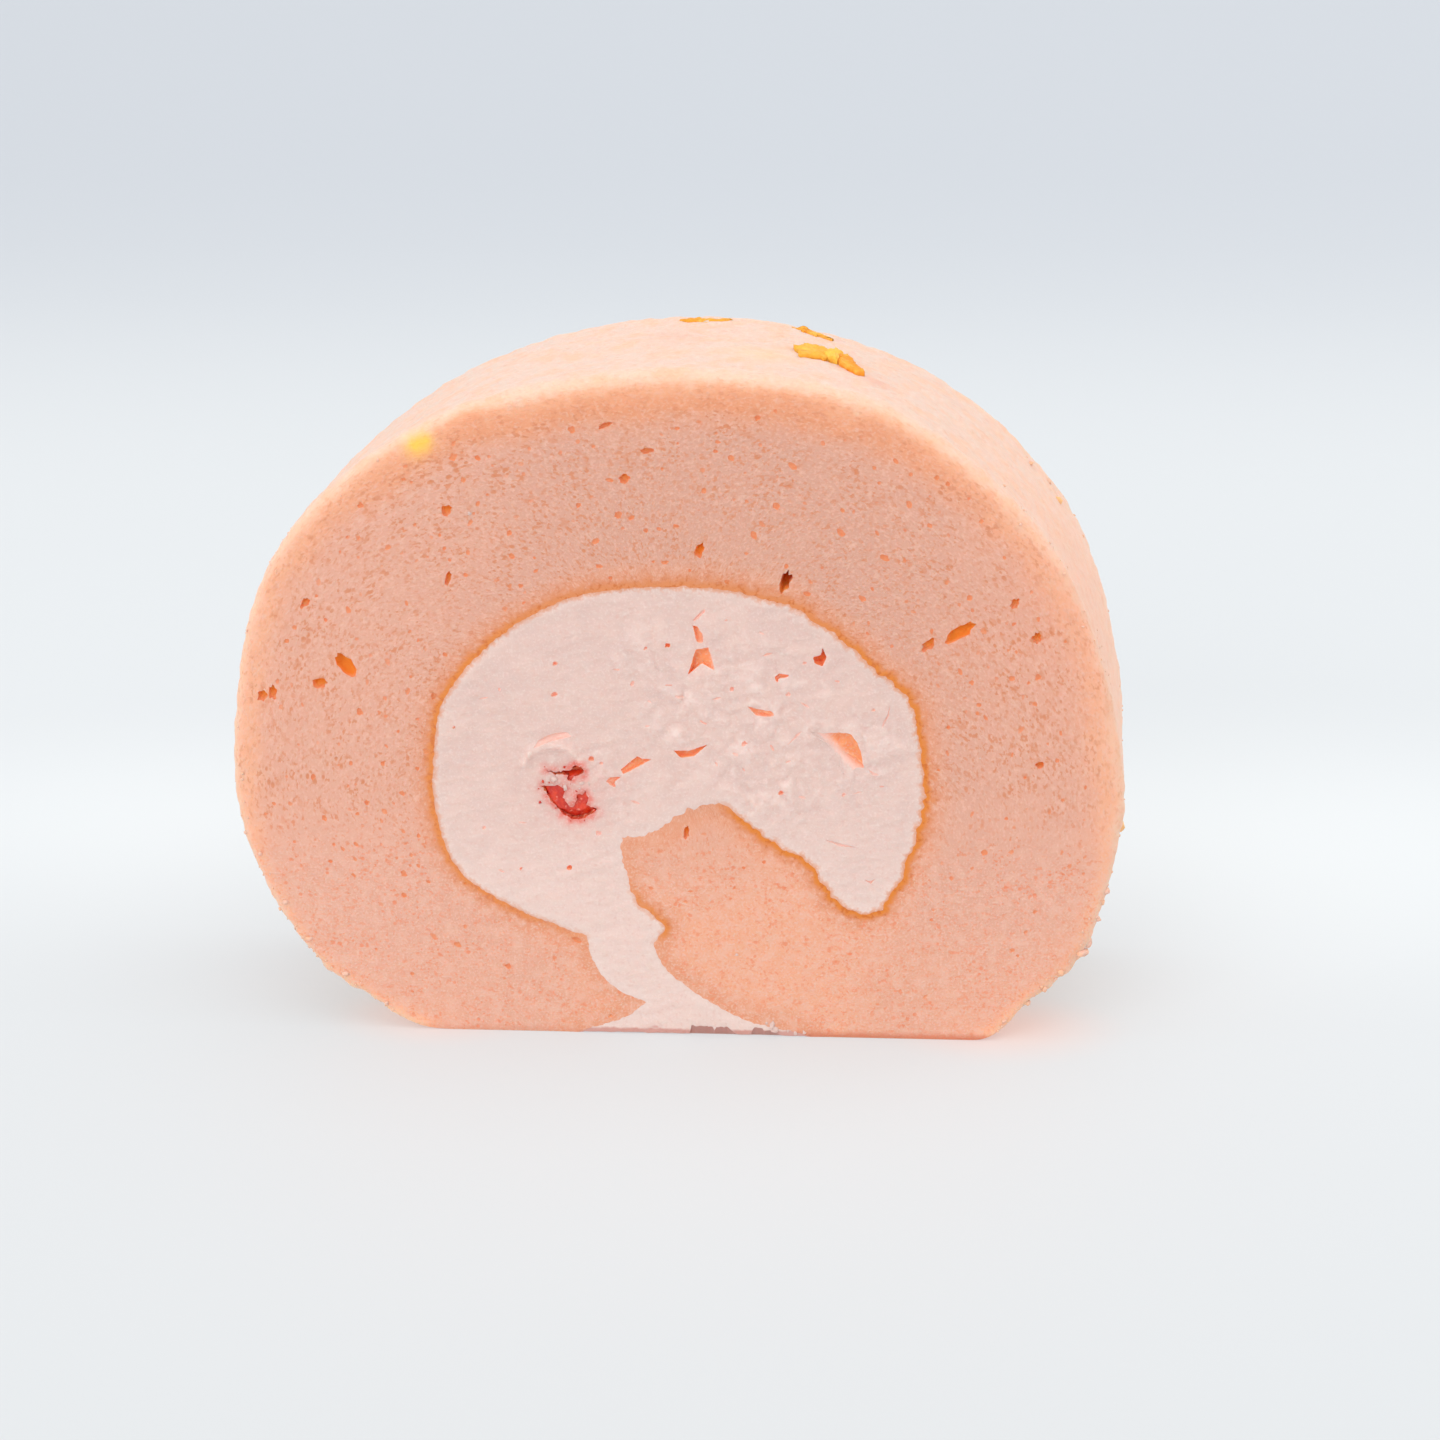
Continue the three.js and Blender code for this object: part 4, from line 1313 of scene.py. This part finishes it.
def cream_look():
    look = Look("whipped_cream")
    pit, to_wall, stain = look.field("filling")
    browned, clump, curd = look.field("touching")
    under = look.field("under")[0]
    up = look.part(look.mm, 2)

    def by_curd(share, smooth, curdled_most):
        """A share scaled by how curdled the cream is."""
        return look.times(share, look.ramp(curd, 0.0, 1.0, smooth, curdled_most))

    # Painted highlights on the clumps' tops and painted shade in the creases between them, most
    # where the cream is curdled; then whiter patches.
    lit_tops = by_curd(look.ramp(clump, 0.3, 0.8), 0.05, 0.28)
    creases = by_curd(look.ramp(clump, 0.14, 0.02), 0.05, 0.5)
    whites = by_curd(look.patches(1.1, 5, 0.52, 0.66), 0.05, 0.2)
    reach = look.ramp(look.noise(0.6, 3), 0.35, 0.65, 0.25, 0.8)
    tint = look.times(look.ramp(to_wall, reach, 0.05), browned)
    red = look.mix(look.ramp(pit, 0.1, 0.5), FRUIT_STAIN, FRUIT_STAIN_DEEP)
    # Painted shade along the cream's foot, where it meets the floor, and in its notches.
    low = look.ramp(look.calc("MULTIPLY_ADD", look.noise(0.8, 3), 0.5, up), 1.05, 0.7)
    body = look.paint(
        CREAM, (look.patches(4, 5, 0.38, 0.65), CREAM_WARM),
        (look.ramp(up, 34, 8, 0.0, 0.7), CREAM_LOW), (lit_tops, CREAM_WHITE_HIGHLIGHT), (creases, CREAM_CREASE_SHADE),
        (whites, CREAM_WHITE_HIGHLIGHT), (look.patches(0.45, 4, 0.54, 0.7, 0.4), CREAM_CREASE_SHADE),
        # painted shade in the tears and cracks, deeper with the pit value
        (look.times(tint, 0.75), BROWNED), (look.ramp(pit, 0.0, 0.08), CREAM_TORN_SHADE),
        (look.ramp(pit, 0.08, 0.42), CREAM_DEEP_SHADE), (look.ramp(pit, 0.8, 1.1), CREAM_DEEPEST_SHADE),
        (look.times(stain, 0.85), red), (look.patches(0.22, 2, 0.5, 0.7, 0.3), CREAM_WHITE_HIGHLIGHT),
        (look.calc("MAXIMUM", under, low), CREAM_UNDER_SHADE))
    smear = look.times(look.noise(0.9, 4, stretch=(0.6, 1, 1)), 0.16)
    look.bump(look.calc("ADD", smear, look.times(look.noise(0.3, 2), 0.03)), 0.8)
    glow = look.calc("MAXIMUM", look.ramp(to_wall, 0.1, 1.5, 0.0, 0.6),
                     look.ramp(pit, 0.02, 0.2, 0.1, 0.8))
    look.soften(glow, 0.0018, 1.0, 0.6, 0.5)
    look.set(Base_Color=body, Roughness=0.55, Specular_IOR_Level=0.35)
    return look.material


def strawberry_look():
    look = Look("strawberry_flesh")
    red = look.paint(FRUIT_BRIGHT, (look.patches(0.8, 4, 0.35, 0.65), FRUIT_DARK),
                     (look.patches(0.5, 3, 0.6, 0.74), FRUIT_PALE))
    look.bump(look.times(look.noise(0.35, 3), 0.15))
    look.soften(0.3, 0.001, 1.0, 0.25, 0.15)
    look.set(Base_Color=red, Roughness=0.3, Coat_Weight=0.2, Coat_Roughness=0.2)
    return look.material


def flake_look():
    look = Look("browned_flakes")
    gold = look.paint(FLAKE_YELLOW, (look.field("tone")[0], FLAKE_ORANGE),
                      (look.patches(1.2, 3, 0.45, 0.75, 0.6), FLAKE_PALE))
    look.bump(look.times(look.noise(0.4, 3), 0.15))
    look.soften(0.2, 0.0008, 1.0, 0.5, 0.2)
    look.set(Base_Color=gold, Roughness=0.7)
    return look.material


def crumb_look():
    look = Look("loose_crumbs")
    tone = look.field("tone")[0]
    tan = look.paint(SKIN_PEACH, (look.patches(1.5, 3, 0.4, 0.6), CRUMB_PALE),
                     (look.ramp(tone, 0.35, 0.5), CRUMB_GOLD), (look.ramp(tone, 0.6, 0.9), CREAM))
    look.soften(0.3, 0.0004, 1.0, 0.7, 0.6)
    look.set(Base_Color=tan, Roughness=0.9, Specular_IOR_Level=0.2)
    return look.material


# ---- the pieces ----

skin_points = make_sponge(sponge_look())
make_cream(cream_look())
make_strawberry(strawberry_look())
make_flakes(flake_look())
make_crumbs(crumb_look(), skin_points)

# ---- floor, light and camera ----

FLOOR_WIDTH = 3.0
FLOOR_FRONT = (-1.5, -0.4)
SWEEP_START = 0.35
SWEEP_RADIUS = 0.5
SWEEP_TOP = 1.6
SWEEP_STEPS = 16
FLOOR_NEAR = colour(159, 161, 162)
FLOOR_MIDDLE = colour(166, 168, 169)
FLOOR_BACK = colour(153, 156, 160)
# Painted light on the floor, and painted warm light reflected from the cake.
FLOOR_WARM_BOUNCE = colour(196, 150, 134)
FLOOR_PAINTED_LIGHT = colour(177, 179, 179)
# Painted light on the floor: paler beside the cake, lifting its shadows, and warm light reflected
# from the cake by the round corners: spot and reach in millimetres, colour, strength.
FLOOR_LIGHT_SPOTS = [
    ((62, 45), 90, FLOOR_PAINTED_LIGHT, 0.75), ((-66, 45), 70, FLOOR_PAINTED_LIGHT, 0.5),
    ((-27, -9), 13, FLOOR_WARM_BOUNCE, 0.3), ((33, -9), 15, FLOOR_WARM_BOUNCE, 0.35),
]
SPOT_SQUEEZE = 1.6   # spots are this much shorter from front to back


def make_floor():
    """A pale floor that sweeps up into a backdrop, glowing with its own colour: painted light that
    lifts the shadows on it.
    """
    profile = [(y, 0) for y in (*FLOOR_FRONT, SWEEP_START)]
    for k in range(1, SWEEP_STEPS + 1):
        a = k / SWEEP_STEPS * math.pi / 2
        profile.append((SWEEP_START + SWEEP_RADIUS * math.sin(a), SWEEP_RADIUS * (1 - math.cos(a))))
    profile.append((SWEEP_START + SWEEP_RADIUS, SWEEP_TOP))
    vertices = [(side * FLOOR_WIDTH / 2, y, z) for y, z in profile for side in (-1, 1)]
    faces = [(2 * i, 2 * i + 1, 2 * i + 3, 2 * i + 2) for i in range(len(profile) - 1)]
    look = Look("pale_floor")
    back = look.part(look.mm, 1)
    tone = look.paint(FLOOR_NEAR, (look.ramp(back, -160, 60), FLOOR_MIDDLE),
                      (look.ramp(back, 180, 480), FLOOR_BACK))
    flat = look.scaled(look.mm, (1, SPOT_SQUEEZE, 0))
    for (x, y), reach, tint, strength in FLOOR_LIGHT_SPOTS:
        away = look.node("ShaderNodeVectorMath", flat, (x, SPOT_SQUEEZE * y, 0),
                         operation="DISTANCE").outputs["Value"]
        tone = look.mix(look.ramp(away, reach, 0, 0.0, strength), tone, tint)
    # The glow is painted light: it lifts the floor's shadows and lights the cake from below.
    look.set(Base_Color=tone, Roughness=0.6, Specular_IOR_Level=0.2, Emission_Color=tone,
             Emission_Strength=1.0)
    look.material.cycles.emission_sampling = "NONE"
    add_object("floor_sweep", smooth_mesh("floor_sweep", vertices, faces, look.material))


SKY = (0.94, 0.97, 1.0, 1)
SKY_STRENGTH = 0.92
LIT_SPOT = (0, 0, 0.03)
# Soft lights: name, place, width, watts, colour.
LIGHTS = [
    ("above", (0.05, -0.12, 0.85), 0.9, 2.2, (1, 0.99, 0.97)),
    ("front_left", (-0.5, -0.8, 0.45), 0.8, 3.6, (1, 1, 1)),
    ("right", (0.8, 0.2, 0.4), 0.8, 1.5, (1, 1, 1)),
]


def light_scene():
    scene = bpy.context.scene
    world = bpy.data.worlds.new("soft_white")
    world.use_nodes = True
    background = world.node_tree.nodes["Background"]
    background.inputs["Color"].default_value = SKY
    background.inputs["Strength"].default_value = SKY_STRENGTH
    scene.world = world
    for name, at, width, watts, tint in LIGHTS:
        light = bpy.data.lights.new(name, "AREA")
        light.shape = "DISK"
        light.size = width
        light.energy = watts
        light.color = tint
        lamp = add_object(name, light)
        lamp.location = at
        lamp.rotation_euler = (Vector(LIT_SPOT) - Vector(at)).to_track_quat("-Z", "Y").to_euler()
    scene.view_settings.view_transform = "Standard"


CAMERA_AT = (0.02231, -0.27405, 0.13396)
CAMERA_LENS = 70      # this and the next are in millimetres
CAMERA_SENSOR = 36
CAMERA_NEAR = 0.01
CAMERA_YAW = 4.0
CAMERA_PITCH = 20.6
CAMERA_ROLL = -0.6


def add_camera():
    data = bpy.data.cameras.new("camera")
    data.lens = CAMERA_LENS
    data.sensor_width = CAMERA_SENSOR
    data.clip_start = CAMERA_NEAR
    camera = add_object("camera", data)
    turn = Matrix.Rotation(math.radians(CAMERA_YAW), 4, "Z")
    tilt = Matrix.Rotation(math.radians(90 - CAMERA_PITCH), 4, "X")
    roll = Matrix.Rotation(math.radians(CAMERA_ROLL), 4, "Z")
    camera.matrix_world = Matrix.Translation(CAMERA_AT) @ turn @ tilt @ roll
    bpy.context.scene.camera = camera


make_floor()
light_scene()
add_camera()
